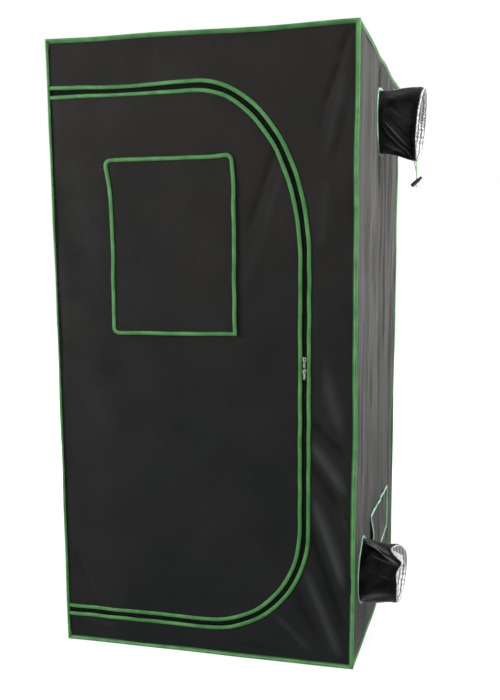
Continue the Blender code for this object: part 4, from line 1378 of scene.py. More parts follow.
class Along:
    """A Geometry Nodes tree that sets one small shape at even steps along a line."""

    def __init__(self, name: str) -> None:
        """Builds the tree with its named inputs.

        Args:
            name: the tree's name.
        """
        self.tree = bpy.data.node_groups.new(name, "GeometryNodeTree")
        face = self.tree.interface
        face.new_socket("Line", in_out="INPUT", socket_type="NodeSocketGeometry")
        self.inputs = {}
        for label, kind in (
            ("Step", "NodeSocketFloat"), ("Start", "NodeSocketFloat"), ("Size", "NodeSocketVector"),
            ("Facing", "NodeSocketVector"), ("Material", "NodeSocketMaterial"),
        ):
            self.inputs[label] = face.new_socket(label, in_out="INPUT", socket_type=kind).identifier
        face.new_socket("Pieces", in_out="OUTPUT", socket_type="NodeSocketGeometry")
        self.build()

    def build(self) -> None:
        """Lays the tree out from the line to the set material."""
        new = Nodes(self.tree, "").node
        entry = new("NodeGroupInput").outputs
        curve = new("GeometryNodeMeshToCurve", {"Mesh": entry["Line"]}).outputs[0]
        length = new("GeometryNodeCurveLength", {0: curve}).outputs[0]
        trim = new("GeometryNodeTrimCurve", {"Curve": curve}, mode="LENGTH")
        for label, value in (("Start", entry["Start"]), ("End", length)):
            last = [socket for socket in trim.inputs if socket.name == label][-1]
            self.tree.links.new(value, last)
        spacing = {"Curve": trim.outputs[0], "Length": entry["Step"]}
        steps = new("GeometryNodeResampleCurve", spacing, mode="LENGTH").outputs[0]
        shape = new("GeometryNodeMeshUVSphere", {"Segments": 6, "Rings": 4, "Radius": 0.5}).outputs[0]
        turn = "FunctionNodeAlignRotationToVector"
        facing = new(turn, {"Vector": entry["Facing"]}, axis="Z").outputs[0]
        tangent = new("GeometryNodeInputTangent").outputs[0]
        running = new(turn, {"Rotation": facing, "Vector": tangent}, axis="X", pivot_axis="Z").outputs[0]
        many = {"Points": steps, "Instance": shape, "Rotation": running, "Scale": entry["Size"]}
        instances = new("GeometryNodeInstanceOnPoints", many).outputs[0]
        real = new("GeometryNodeRealizeInstances", {0: instances}).outputs[0]
        smooth = new("GeometryNodeSetShadeSmooth", {0: real}).outputs[0]
        finish = {"Geometry": smooth, "Material": entry["Material"]}
        new("NodeGroupOutput", {0: new("GeometryNodeSetMaterial", finish).outputs[0]})

    def lay(
        self,
        name: str,
        lines: Sequence[np.ndarray],
        step: float,
        size: tuple[float, float, float],
        facing: Sequence[float],
        material: bpy.types.Material,
        start: float = 0.0,
    ) -> bpy.types.Object:
        """Makes one plain mesh of all the small shapes along some lines.

        Args:
            name: the piece's name.
            lines: places along each line.
            step: the spacing of the shapes.
            size: each shape's length along the line, its width across it and its height.
            facing: the direction of the height.
            material: the finish.
            start: how far along the line the first one sits.

        Returns:
            The object, with no modifier left.
        """
        mesh = bpy.data.meshes.new(name + "_line")
        edges, count = [], 0
        for line in lines:
            edges += [(count + i, count + i + 1) for i in range(len(line) - 1)]
            count += len(line)
        mesh.from_pydata(np.vstack(lines).tolist(), edges, [])
        guide = placed(name + "_line", mesh)
        modifier = guide.modifiers.new("along", "NODES")
        modifier.node_group = self.tree
        modifier[self.inputs["Step"]] = step
        modifier[self.inputs["Start"]] = start
        modifier[self.inputs["Size"]] = size
        modifier[self.inputs["Facing"]] = [float(x) for x in facing]
        modifier[self.inputs["Material"]] = material
        made = bpy.data.meshes.new_from_object(guide.evaluated_get(bpy.context.evaluated_depsgraph_get()))
        made.name = name
        bpy.data.objects.remove(guide, do_unlink=True)
        return placed(name, made)


# Sub-assemblies


@dataclass
class Workshop:
    """What every sub-assembly is made with."""

    finishes: Finishes
    walls: dict[Side, Wall]
    along: Along
    stitch: tuple[float, float, float] = (0.0030, 0.0008, 0.0007)
    stitch_step: float = 0.0042

    def cloth(
        self, name: str, panel: ClothPanel, lift: Surface | None = None, inside: str = "silver_lining"
    ) -> bpy.types.Object:
        """A cloth panel with its outer and inner finish."""
        materials = [self.finishes["black_cloth"], self.finishes[inside]]
        return panel.draft(lift).piece(name, materials)

    def bound(
        self, name: str, strip: BindingStrip, course: Course, finish: str = "green_piping"
    ) -> tuple[bpy.types.Object, bpy.types.Object]:
        """Binds an edge.

        Args:
            name: what is bound.
            strip: the binding's shape.
            course: where it runs.
            finish: its finish.

        Returns:
            The binding, and its stitches.
        """
        binding = strip.draft(course).piece(f"{name}_binding", [self.finishes[finish]])
        lines, thread = strip.stitch_lines(course), self.finishes["green_thread"]
        stitches = self.along.lay(
            f"{name}_stitches", lines, self.stitch_step, self.stitch, course.wall.normal, thread
        )
        return binding, stitches


@dataclass
class Cover:
    """The walls, roof and floor of the cover, with the piping along its twelve edges."""

    shop: Workshop
    tape_reach: float = 0.0095
    tape_height: float = 0.0013
    tape_bevel: float = 0.001
    bead_gap: float = 0.0012
    floor_gap: float = 0.00337
    port_ledge: float = 0.002
    step: float = 0.02
    corner_room: float = 0.012
    wave: float = 0.0004

    def build(self) -> None:
        """Makes every plain side and the edges."""
        low, high = SIZES.wall_span
        reach, inset = SIZES.panel, SIZES.half - self.floor_gap
        upright = rounded_rectangle((-reach, low), (reach, high))
        flat = rounded_rectangle((-reach, -reach), (reach, reach))
        ground = rounded_rectangle((-inset, -inset), (inset, inset))
        self.plain("back_cloth", Side.BACK, upright, (0.014, 0.030), ["back_wall"])
        self.plain("left_cloth", Side.LEFT, upright, (0.012, 0.030), ["left_wall"])
        self.plain("roof_cloth", Side.ROOF, flat, (0.025, 0.025), ["roof_skin"], rim=(0.003, 0.007, 0.013))
        self.plain("floor_cloth", Side.GROUND, ground, (0.04, 0.04), ["floor_skin"])
        radius = SIZES.port_radius - self.port_ledge
        holes = [circle(port, radius, 72) for port in (SIZES.upper_port, SIZES.lower_port)]
        holes.append(SIZES.vent(-SIZES.vent_hem))
        self.plain("right_cloth", Side.RIGHT, upright, (0.0055, 0.018), ["right_wall"], holes)
        self.edges()

    def plain(
        self,
        name: str,
        side: Side,
        outline: Path,
        step: tuple[float, float],
        replaced: Sequence[str],
        holes: Sequence[Path] = (),
        rim: tuple[float, ...] = (),
    ) -> None:
        """One side of the cover.

        Args:
            name: the piece's name.
            side: which side it is.
            outline: its outline.
            step: the spacing of its points.
            replaced: the nodes that it stands for.
            holes: the openings in it.
            rim: how far inside its edge more rings of points lie.
        """
        panel = ClothPanel(self.shop.walls[side], outline, holes, -SIZES.fabric, 0.0, step, rim)
        piece = self.shop.cloth(name, panel)
        report(piece, Body.TENT, replaced)

    def section(self) -> np.ndarray:
        """The edge binding's section.

        Returns:
            For each place, its distances along the two walls from their edge, and its rise.
        """
        radius, tape, thin = SIZES.piping / 2, self.tape_reach, self.tape_height
        turns = np.radians(np.linspace(-28, -242, 12))
        bead = [(radius * math.cos(a), radius * math.sin(a), 0.0) for a in turns]
        first = [
            (tape, 0.0, -0.9), (tape, -0.6 * thin, -0.9), (tape - self.tape_bevel, -thin, -0.7),
            (radius + self.bead_gap, -thin, -0.6),
        ]
        second = [(b, a, rise) for a, b, rise in first[::-1]]
        inner = [(radius * math.cos(a), radius * math.sin(a), -0.9) for a in np.radians((90, 68, 45, 22, 0))]
        return np.array([*first, *bead, *second, *inner])

    def strip(self, line: np.ndarray, walls: tuple[np.ndarray, np.ndarray], closed: bool) -> Draft:
        """Lays the edge binding along one run.

        Args:
            line: the run's places on the box's edge.
            walls: for each place, how the section's two distances move it.
            closed: whether the run joins its own start.

        Returns:
            The draft.
        """
        section = self.section()
        section = np.vstack([section, section[:1]])
        if closed:
            line = np.vstack([line, line[:1]])
            walls = tuple(np.vstack([way, way[:1]]) for way in walls)
        points = self.hang(line)[:, None]
        points = points + section[None, :, :1] * walls[0][:, None] + section[None, :, 1:2] * walls[1][:, None]
        points = tugged(points)
        points[..., 2] = np.maximum(points[..., 2], 0.0)
        hinge = (line[:, 0] < -0.99 * SIZES.half) & (line[:, 1] < -0.99 * SIZES.half)
        hinge &= np.abs(line[:, 2] - SIZES.height / 2) < SIZES.height / 2 - 2 * SIZES.piping
        points[hinge, :, 0] = np.minimum(points[hinge, :, 0], -SIZES.panel - SIZES.fit)
        draft = Draft()
        draft.tube(points, distances(section[:, :2]), distances(line), section[:, 2], capped=not closed)
        return draft

    def edges(self) -> None:
        """The binding round the front and the back, and along the four edges between them."""
        half, radius = SIZES.half, SIZES.piping / 2
        low, high = radius, SIZES.height - radius
        corners = rounded_rectangle((-half, low), (half, high))
        loop = spaced(corners, self.step, closed=True, corner_room=self.corner_room)
        inward = offset_path(loop, 1.0, closed=True) - loop
        runs = []
        for y in (-half, half):
            line = np.stack([loop[:, 0], np.full(len(loop), y), loop[:, 1]], axis=1)
            first = np.stack([inward[:, 0], np.zeros(len(loop)), inward[:, 1]], axis=1)
            second = np.broadcast_to((0, -math.copysign(1, y), 0), first.shape)
            runs.append((line, (first, second), True))
        for x in (-half, half):
            for z in (low, high):
                steps = np.linspace(-half, half, round(2 * half / self.step) + 1)
                line = np.stack([np.full(len(steps), x), steps, np.full(len(steps), z)], axis=1)
                first = np.broadcast_to((-math.copysign(1.0, x), 0, 0), line.shape)
                second = np.broadcast_to((0, 0, 1.0 if z == low else -1.0), line.shape)
                runs.append((line, (first, second), False))
        whole = Draft()
        for line, walls, closed in runs:
            part = self.strip(line, walls, closed)
            rise = np.concatenate(part.rises)
            whole.add(np.vstack(part.points), np.vstack(part.places), part.faces, 0, rise)
        piece = whole.piece("edge_binding", [self.shop.finishes["green_piping"]])
        report(piece, Body.TENT, ["edge_piping"])

    def hang(self, line: np.ndarray) -> np.ndarray:
        """The line with the small waves of a sewn edge.

        Args:
            line: the places along it.

        Returns:
            The moved places.
        """
        moved = line.copy()
        rng = np.random.default_rng(21)
        for axis in range(3):
            for _ in range(4):
                rate = rng.uniform(5, 22, 3)
                moved[:, axis] += np.sin(line @ rate + rng.uniform(0, 6.28)) * self.wave
        return moved


@dataclass
class Doorway:
    """The front panel round the door, with the fixed half of the zip."""

    shop: Workshop
    strip: BindingStrip = BindingStrip(seed=31)
    tape_reach: float = 0.018
    tape: float = 0.0006
    tooth: tuple[float, float, float] = (0.0013, 0.0036, 0.0016)
    tooth_step: float = 0.0024
    tape_start: float = 0.0011
    tooth_offset: float = 0.0009
    first_tooth: float = 0.003
    least_share: float = 0.3

    def build(self) -> None:
        """Makes the panel, its binding and the zip's outer half."""
        wall = self.shop.walls[Side.FRONT]
        low, high = SIZES.wall_span
        reach = SIZES.panel
        outline = SIZES.door_path(SIZES.cloth_gap / 2)
        outline += [(-reach, low), (reach, low), (reach, high), (-reach, high)]
        panel = ClothPanel(wall, outline, (), -SIZES.fabric, 0.0, SIZES.front_step)
        piece = self.shop.cloth("front_cloth", panel)
        report(piece, Body.TENT, ["front_panel"])
        course = Course(wall, SIZES.door_path(SIZES.trim_spacing / 2), SIZES.fit)
        binding, stitches = self.shop.bound("doorway", self.strip, course)
        report(binding, Body.TENT, ["doorway_piping"])
        report(stitches, Body.TENT)
        piece = self.zip_tape("zip_tape_outer", 1)
        report(piece, Body.TENT, ["zip_outer_half"])
        report(self.teeth("zip_teeth_outer", 1), Body.TENT)

    def zip_tape(self, name: str, side: int) -> bpy.types.Object:
        """One half of the zip's tape, behind the cloth and the binding.

        Args:
            name: the piece's name.
            side: 1 for the doorway's half, -1 for the door's.

        Returns:
            The object.
        """
        wall = self.shop.walls[Side.FRONT]
        line = spaced(SIZES.door_path(0), SIZES.line_step, closed=False)
        near, far, back, front = self.tape_start, self.tape_reach, SIZES.behind - self.tape, SIZES.behind
        section = ((near, back), (near, front), (far, front), (far, back), (near, back))
        rows = [wall.at(*offset_path(line, side * across, closed=False).T, out) for across, out in section]
        around = np.array([0, self.tape, far, far + self.tape, 2 * far])
        draft = Draft()
        draft.tube(np.stack(rows, axis=1), around, distances(line))
        return draft.piece(name, [self.shop.finishes["zip_tape"]])

    def teeth(self, name: str, side: int) -> bpy.types.Object:
        """One half of the zip's teeth, which lie between those of the other half.

        Args:
            name: the piece's name.
            side: 1 for the doorway's half, -1 for the door's.

        Returns:
            The object.
        """
        path = offset_path(SIZES.door_path(0), side * self.tooth_offset, closed=False)
        line = spaced(path, SIZES.line_step, closed=False)
        points = self.shop.walls[Side.FRONT].at(*line.T, SIZES.behind - self.tape / 2)
        start = self.first_tooth + (0.0 if side > 0 else self.tooth_step / 2)
        finish = self.shop.finishes["zip_teeth"]
        return self.shop.along.lay(name, [points], self.tooth_step, self.tooth, (0, -1, 0), finish, start)


@dataclass
class Door:
    """The door's leaf with its binding, its half of the zip, and the window with its flap."""

    shop: Workshop
    doorway: Doorway
    strip: BindingStrip = BindingStrip(seed=41)
    fold_reach: float = 0.045
    flap_reach: float = 0.0065
    flap_bend: float = 0.020
    side_lift: float = 0.0022
    foot_lift: float = 0.0012

    def bent(self, piece: bpy.types.Object, slot: str, replaced: Sequence[str]) -> None:
        """Passes a piece of the door's cloth to report_blended, between the tent and the door, which folds at
        its left edge.
        """
        x, y, z = SIZES.door_hinge
        report_blended(piece, (Body.TENT, Body.DOOR), (x, y, z), (x + self.fold_reach, y, z), slot, replaced)

    def flap_lift(self, u: np.ndarray, v: np.ndarray) -> np.ndarray:
        """How far the window's flap stands off the door, most at its loose right and lower edges."""
        low, high = SIZES.window_low, SIZES.window_high
        right = np.clip((u - low[0]) / (high[0] - low[0]), 0, 1) ** 6
        down = np.clip((high[1] - v) / (high[1] - low[1]), 0, 1)
        return self.side_lift * right * np.clip(down * 8, 0, 1) + self.foot_lift * down**4

    def build(self) -> None:
        """Makes the leaf, the window and the flap."""
        wall = self.shop.walls[Side.FRONT]
        outline, opening = SIZES.door_path(-SIZES.cloth_gap / 2), SIZES.window(-SIZES.window_hem, False)
        panel = ClothPanel(wall, outline, [opening], -SIZES.fabric, 0.0, SIZES.front_step)
        piece = self.shop.cloth("door_cloth", panel)
        self.bent(piece, "black_cloth", ["door_leaf"])
        course = Course(wall, SIZES.door_path(-SIZES.trim_spacing / 2), SIZES.fit)
        binding, stitches = self.shop.bound("door", self.strip, course)
        self.bent(binding, "green_piping", ["door_leaf_piping"])
        self.bent(stitches, "green_piping", [])
        self.bent(self.doorway.zip_tape("zip_tape_inner", -1), "zip_tape", ["zip_inner_half"])
        self.bent(self.doorway.teeth("zip_teeth_inner", -1), "zip_tape", [])
        self.window(wall)
        self.flap(wall)

    def window(self, wall: Wall) -> None:
        """The clear pane behind the opening.

        Args:
            wall: the front.
        """
        outline, back = SIZES.window(-SIZES.pane_hem, False), SIZES.behind
        panel = ClothPanel(wall, outline, (), back - SIZES.film, back, SIZES.film_step)
        piece = panel.draft().piece("window_vinyl", [self.shop.finishes["clear_vinyl"]] * 2)
        report(piece, Body.DOOR, ["window_pane"])

    def flap(self, wall: Wall) -> None:
        """The flap over the window, which lifts about its top edge.

        Args:
            wall: the front.
        """
        z = SIZES.window_high[1] + self.flap_reach
        x, y = (SIZES.window_low[0] + SIZES.window_high[0]) / 2, -SIZES.half - SIZES.bend_out
        end = (x, y, z - self.flap_bend)
        bend = {"bodies": (Body.DOOR, Body.WINDOW_FLAP), "start": (x, y, z), "end": end}
        outline = SIZES.window(SIZES.flap_lap, True)
        panel = ClothPanel(wall, outline, (), SIZES.fit, SIZES.fit + SIZES.fabric, SIZES.front_step)
        piece = self.shop.cloth("flap_cloth", panel, self.flap_lift, inside="black_cloth")
        report_blended(piece, slot="black_cloth", replaced=["window_flap"], **bend)
        course = Course(wall, SIZES.window(0, True), 2 * SIZES.fit + SIZES.fabric, True, self.flap_lift)
        binding, stitches = self.shop.bound("flap", self.strip, course)
        report_blended(binding, slot="green_piping", replaced=["window_flap_piping"], **bend)
        report_blended(stitches, slot="green_piping", replaced=[], **bend)


@dataclass
class DuctSleeve:
    """A duct port with its cloth sleeve, lining and binding.

    A fold or crease is given by its angles at the root and the mouth, its height and its spread in degrees. A
    notch in the rim is given by its angle, depth and spread, and so is the lining's spill past the rim.
    """

    shop: Workshop
    level: str
    centre: tuple[float, float]
    length: float
    lean: float
    skew: float
    drop: float
    mouth_shares: tuple[float, ...]
    folds: tuple[tuple[float, float, float, float], ...]
    creases: tuple[tuple[float, float, float, float], ...] = ()
    notches: tuple[tuple[float, float, float], ...] = ()
    spill: tuple[float, float, float] = (0.0, 0.0, 1.0)
    seed: int = 51
    collar: float = 0.005
    collar_share: float = 0.04
    hem_roll: float = 0.0015
    hem_room: float = 0.03
    lining: tuple[float, float] = (0.0016, 0.0021)
    lining_extra_share: float = 0.045
    full_rise: float = 0.0026
    wrinkle: float = 0.0005
    wrinkle_count: int = 9
    gather: float = 0.0007
    crumple_depth: float = 0.0011
    ripple_depth: float = 0.0009
    ripple_share: float = 0.085
    rows: int = 44
    columns: int = 168

    def mouth(self, angle: np.ndarray) -> np.ndarray:
        """The mouth's radius as a share of the port's.

        Args:
            angle: degrees about the port.

        Returns:
            The share at each angle.
        """
        shares = np.array(self.mouth_shares)
        place = (angle / 360 % 1) * len(shares)
        index = place.astype(int)
        near = (shares[(index + k) % len(shares)] for k in (-1, 0, 1, 2))
        return curved(*near, place - index)

    def at(self, share: np.ndarray, angle: np.ndarray, inset: np.ndarray, detail: bool = True) -> np.ndarray:
        """Places on the sleeve.

        Args:
            share: the share of the sleeve's length, below zero within its collar.
            angle: degrees about the port, from the tent's back.
            inset: the distance inwards from the cloth's outer side.
            detail: whether the fine creases are wanted.

        Returns:
            Points in space.
        """
        run = np.clip(share, 0, 1)
        radius = SIZES.port_radius * (1 + (self.mouth(angle) - 1) * eased(run))
        for start, end, height, spread in self.folds:
            away = angle_from(angle, start + (end - start) * run)
            swell = height * np.sin(math.pi * np.minimum(run, 0.9))
            radius = radius + swell * np.exp(-((away / spread) ** 2))
        if detail:
            radius = radius + self.detail(run, angle)
        radius = radius - inset
        back = np.cos(np.radians(angle)) * radius
        up = np.sin(np.radians(angle)) * radius
        rooted = np.clip(1 + share / self.collar_share, 0, 1)
        out = SIZES.fit + self.collar * rooted + (self.length - self.collar) * run
        out = out + run * (self.lean * up + self.skew * back) / SIZES.port_radius
        for place, depth, spread in self.notches:
            out = out - depth * run**2 * np.exp(-((angle_from(angle, place) / spread) ** 2))
        root = self.shop.walls[Side.RIGHT].relief(self.centre[0] + back, self.centre[1] + up)
        out = out + root * (1 - run) ** 2
        return np.stack([
            SIZES.half + out, self.centre[0] + back, self.centre[1] + up - self.drop * run * run,
        ], axis=-1)

    def detail(self, run: np.ndarray, angle: np.ndarray) -> np.ndarray:
        """The fine creases of the thin cloth, and the gathers of its hem.

        Args:
            run: the share of the sleeve's length.
            angle: degrees about the port.

        Returns:
            How far they lift the cloth.
        """
        rng = np.random.default_rng(self.seed)
        lift = np.zeros(np.broadcast(run, angle).shape)
        turn = np.radians(angle)
        for _ in range(self.wrinkle_count):
            around = rng.integers(3, 12)
            lift += self.wrinkle * np.sin(around * turn + rng.uniform(2, 9) * run + rng.uniform(0, 6.28))
        lift += self.creased(run, angle)
        near_the_hem = np.clip((run - 0.7) / 0.25, 0, 1)
        gathers = self.gather * np.sin(38 * turn + 1.3 * np.sin(5 * turn)) * near_the_hem
        return (lift + gathers) * np.clip(run / 0.12, 0, 1)

    def creased(self, run: np.ndarray, angle: np.ndarray) -> np.ndarray:
        """How far the slanting creases alone lift the cloth.

        Args:
            run: the share of the sleeve's length.
            angle: degrees about the port.

        Returns:
            The distances.
        """
        lift = np.zeros(np.broadcast(run, angle).shape)
        for start, end, height, spread in self.creases:
            away = angle_from(angle, start + (end - start) * run)
            fade = np.sin(math.pi * np.clip(run, 0.05, 0.95))
            lift += height * np.exp(-(np.abs(away / spread) ** 1.3)) * fade
        return lift

    def crumple(self, share: np.ndarray, angle: np.ndarray) -> np.ndarray:
        """How far the lining's free edge stands in and out past the mouth."""
        turn = np.radians(angle)
        wave = np.sin(23 * turn + 1.7 * np.sin(4 * turn)) + 0.7 * np.sin(41 * turn + 2.0 * np.sin(7 * turn))
        return self.crumple_depth * wave * np.clip((share - 0.9) / 0.1, 0, 1)

    def ripple(self, share: np.ndarray, angle: np.ndarray) -> np.ndarray:
        """The small folds of the lining that run round inside the mouth, from -1 to 1."""
        turn = np.radians(angle)
        sway = 0.9 * np.sin(2 * turn + 1.0) + 0.5 * np.sin(7 * turn) + 0.3 * np.sin(19 * turn)
        turns = 2 * math.pi * (share - 1) / self.ripple_share
        return np.sin(turns + sway) * np.clip((share - 0.64) / 0.1, 0, 1)

    def tube(
        self, name: str, outer: float, inner: float, hem: float, extra: float, finish: str
    ) -> bpy.types.Object:
        """A tube of cloth between two insets.

        Args:
            name: the piece's name.
            outer: the inset of its outer side.
            inner: that of its inner side.
            hem: how far its hem is rolled out.
            extra: how far it runs past the sleeve's mouth, as a share of its length.
            finish: its material slot.

        Returns:
            The object.
        """
        root = -self.collar_share
        shares = np.concatenate([[root, root / 2], np.linspace(0, 1, self.rows)])
        if extra:
            shares = np.concatenate([np.linspace(root, 0.62, 14), np.linspace(0.63, 1 + extra, 60)])
        angles = np.linspace(0, 360, self.columns + 1)
        share, angle = np.meshgrid(shares, angles, indexing="ij")
        roll = np.sqrt(np.clip(1 - ((share - 0.94) / 0.065) ** 2, 0, 1)) * hem
        ripple = self.ripple(share, angle) if extra else 0.0
        loose = self.crumple(share, angle) - self.ripple_depth * (1 - ripple) if extra else 0.0
        outside = self.at(share, angle, outer - roll - loose)
        inside_out = self.at(share, angle, inner - loose)
        place, depth, spread = self.spill
        spilt = depth * np.clip(1 - np.abs(angle_from(angle, place)) / spread, 0, 1)
        free = np.clip(share - 1, 0, 1) * (self.length + spilt / max(extra, 0.001))
        outside[..., 0] += free
        inside_out[..., 0] += free
        round_the_rim = np.concatenate([outside, inside_out[::-1], outside[:1]])
        across = np.radians(angle) * SIZES.port_radius
        along = share * self.length
        cloth = np.stack([across, along], axis=-1)
        places = np.concatenate([cloth, cloth[::-1], cloth[:1]])
        # This rise paints shade in the troughs of the lining's ripples, and lightens the sleeve's crease
        # crests as painted highlight.
        folded = np.clip(self.creased(np.clip(share, 0, 1), angle) / self.full_rise, -1, 1)
        rise = ripple if extra else folded
        draft = Draft()
        draft.grid(round_the_rim, places, rise=np.concatenate([rise, rise[::-1], rise[:1]]))
        return draft.piece(name, [self.shop.finishes[finish]], sharp=70.0)

    def build(self) -> None:
        """Makes the sleeve, its lining and the ring of binding at its root."""
        name = f"{self.level}_sleeve_cloth"
        sleeve = self.tube(name, 0.0, SIZES.fabric, self.hem_roll, 0.0, "sleeve_cloth")
        report(sleeve, Body.TENT, [f"{self.level}_sleeve"])
        name = f"{self.level}_lining_cloth"
        lining = self.tube(name, *self.lining, 0.0, self.lining_extra_share, "port_film")
        report(lining, Body.TENT, [f"{self.level}_sleeve_lining"])
        strip = BindingStrip(width=0.0105, seed=self.seed + 1, wander=0.0009)
        radius = SIZES.port_radius + SIZES.fit + strip.width / 2
        ring = circle(self.centre, radius, 96)
        course = Course(self.shop.walls[Side.RIGHT], ring, SIZES.fit, closed=True)
        binding, stitches = self.shop.bound(f"{self.level}_port", strip, course, "port_binding")
        report(binding, Body.TENT, [f"{self.level}_port_piping"])
        report(stitches, Body.TENT)


@dataclass
class Vent:
    """The low vent: a mesh screen behind the wall and a bound flap before it."""

    shop: Workshop
    strip: BindingStrip = BindingStrip(
        width=0.0115, seed=61, wander=0.0008, seams=(-0.0026, 0.0026), seam_share=0.9
    )
    flap_bend: float = 0.018
    front_lift: float = 0.0088
    front_reach: float = 0.10
    foot_lift: float = 0.0015

    def flap_lift(self, u: np.ndarray, v: np.ndarray) -> np.ndarray:
        """How far the flap stands off the wall, most at its loose front edge."""
        low, high = SIZES.vent_low, SIZES.vent_high
        front = np.clip(1 - (u - low[0]) / self.front_reach, 0, 1) ** 2
        down = np.clip((high[1] - v) / (high[1] - low[1]), 0, 1)
        return self.front_lift * front * np.clip(down * 3, 0, 1) + self.foot_lift * down**2

    def build(self) -> None:
        """Makes the screen, the flap and its binding."""
        wall = self.shop.walls[Side.RIGHT]
        outline, back = SIZES.vent(-SIZES.screen_hem), SIZES.behind
        screen = ClothPanel(wall, outline, (), back - SIZES.film, back, SIZES.film_step)
        piece = screen.draft().piece("vent_mesh", [self.shop.finishes["screen_mesh"]] * 2)
        report(piece, Body.TENT, ["vent_screen"])
        y, z = (SIZES.vent_low[0] + SIZES.vent_high[0]) / 2, SIZES.vent_high[1] + self.strip.width / 2
        x = SIZES.half + SIZES.bend_out
        end = (x, y, z - self.flap_bend)
        bend = {"bodies": (Body.TENT, Body.VENT_FLAP), "start": (x, y, z), "end": end}
        outline = SIZES.vent(SIZES.vent_lap)
        panel = ClothPanel(wall, outline, (), SIZES.fit, SIZES.fit + SIZES.fabric, (0.008, 0.010))
        piece = self.shop.cloth("vent_cloth", panel, self.flap_lift, inside="black_cloth")
        report_blended(piece, slot="black_cloth", replaced=["vent_flap"], **bend)
        course = Course(wall, SIZES.vent(0), 2 * SIZES.fit + SIZES.fabric, True, self.flap_lift)
        binding, stitches = self.shop.bound("vent", self.strip, course, "port_binding")
        report_blended(binding, slot="green_piping", replaced=["vent_flap_piping"], **bend)
        report_blended(stitches, slot="green_piping", replaced=[], **bend)


@dataclass
class Drawcord:
    """The two strands that hang from the upper sleeve's hem, and their knot."""

    shop: Workshop
    sleeve: DuctSleeve
    diameter: float = 0.003
    eye_share: float = 0.97
    lean: float = 0.0067
    offset: float = 0.0017
    length: float = 0.081
    knot: float = 0.0042
    eye_angle: float = 11.25
    knot_cord_share: float = 0.35

    def hem(self, angle: float) -> np.ndarray:
        """The place just under the hem at an angle."""
        inset = -self.sleeve.hem_roll - 2 * SIZES.fit
        return self.sleeve.at(np.array(self.eye_share), np.array(angle), np.array(inset), detail=False)

    def route(self, side: int) -> np.ndarray:
        """A strand's places from the hem to the knot.

        Args:
            side: -1 for the front strand, 1 for the back one.

        Returns:
            The places on a smooth curve.
        """
        start, lowest = self.hem(270 + side * self.eye_angle), self.hem(270)
        if side < 0:
            drops = ((0.0012, -0.0205, -0.0120), (0.0035, -0.0120, -0.0250), (0.0058, -0.0040, -0.0370))
        else:
            drops = ((0.0030, 0.0205, -0.0120), (0.0048, 0.0120, -0.0250), (0.0063, 0.0040, -0.0370))
        ends = ((self.lean, side * self.offset, -0.0450), (self.lean, side * self.offset, -self.length))
        places = [start, start - np.array([0, 0, self.diameter])]
        places += [lowest + np.array(p) for p in (*drops, *ends)]
        points = [2 * places[0] - places[1], *places, 2 * places[-1] - places[-2]]
        smooth = []
        for a, b, c, d in zip(points, points[1:], points[2:], points[3:]):
            for t in np.linspace(0, 1, 6, endpoint=False):
                smooth.append(curved(a, b, c, d, t))
        return np.array([*smooth, places[-1]])

    def tube(self, line: np.ndarray, radius: float, sides: int = 14) -> Draft:
        """A round cord along a line in space.

        Args:
            line: the places along its middle.
            radius: its radius.
            sides: the places round it.

        Returns:
            The draft.
        """
        before, after = neighbours(line, closed=False)
        tangent = unit(after - before)
        side = np.cross(tangent[0], (1.0, 0.3, 0.2))
        sides_out = []
        for t in tangent:
            side = side - t * float(side @ t)
            side /= np.linalg.norm(side)
            sides_out.append(side)
        normal = np.array(sides_out)
        other = np.cross(tangent, normal)
        turns = np.linspace(0, 2 * math.pi, sides + 1)
        rings = line[:, None] + radius * (
            np.cos(turns)[None, :, None] * normal[:, None] + np.sin(turns)[None, :, None] * other[:, None]
        )
        draft = Draft()
        draft.tube(rings, turns * radius, distances(line))
        return draft

    def build(self) -> None:
        """Makes the strands and the knot."""
        material = [self.shop.finishes["green_cord"]]
        knot = self.tie().piece("drawcord_tie", material)
        report(knot, Body.TENT, ["drawcord_knot"])
        for name, side in (("front", -1), ("back", 1)):
            line = self.route(side)
            strand = self.tube(line, self.diameter / 2).piece(f"strand_{name}", material)
            report(strand, Body.TENT, [f"drawcord_{name}"])

    def tie(self) -> Draft:
        """The overhand knot that joins the two ends.

        Returns:
            The draft.
        """
        turns = np.linspace(0, 2 * math.pi, 73)
        x = np.sin(turns) + 2 * np.sin(2 * turns)
        y = np.cos(turns) - 2 * np.cos(2 * turns)
        z = -np.sin(3 * turns)
        thin = self.diameter * self.knot_cord_share
        line = np.stack([x, y, 1.2 * z], axis=1) * (self.knot - thin) / 3
        centre = self.hem(270) + np.array([self.lean, 0, -self.length - SIZES.fit - self.knot])
        return self.tube(line + centre, thin, sides=10)


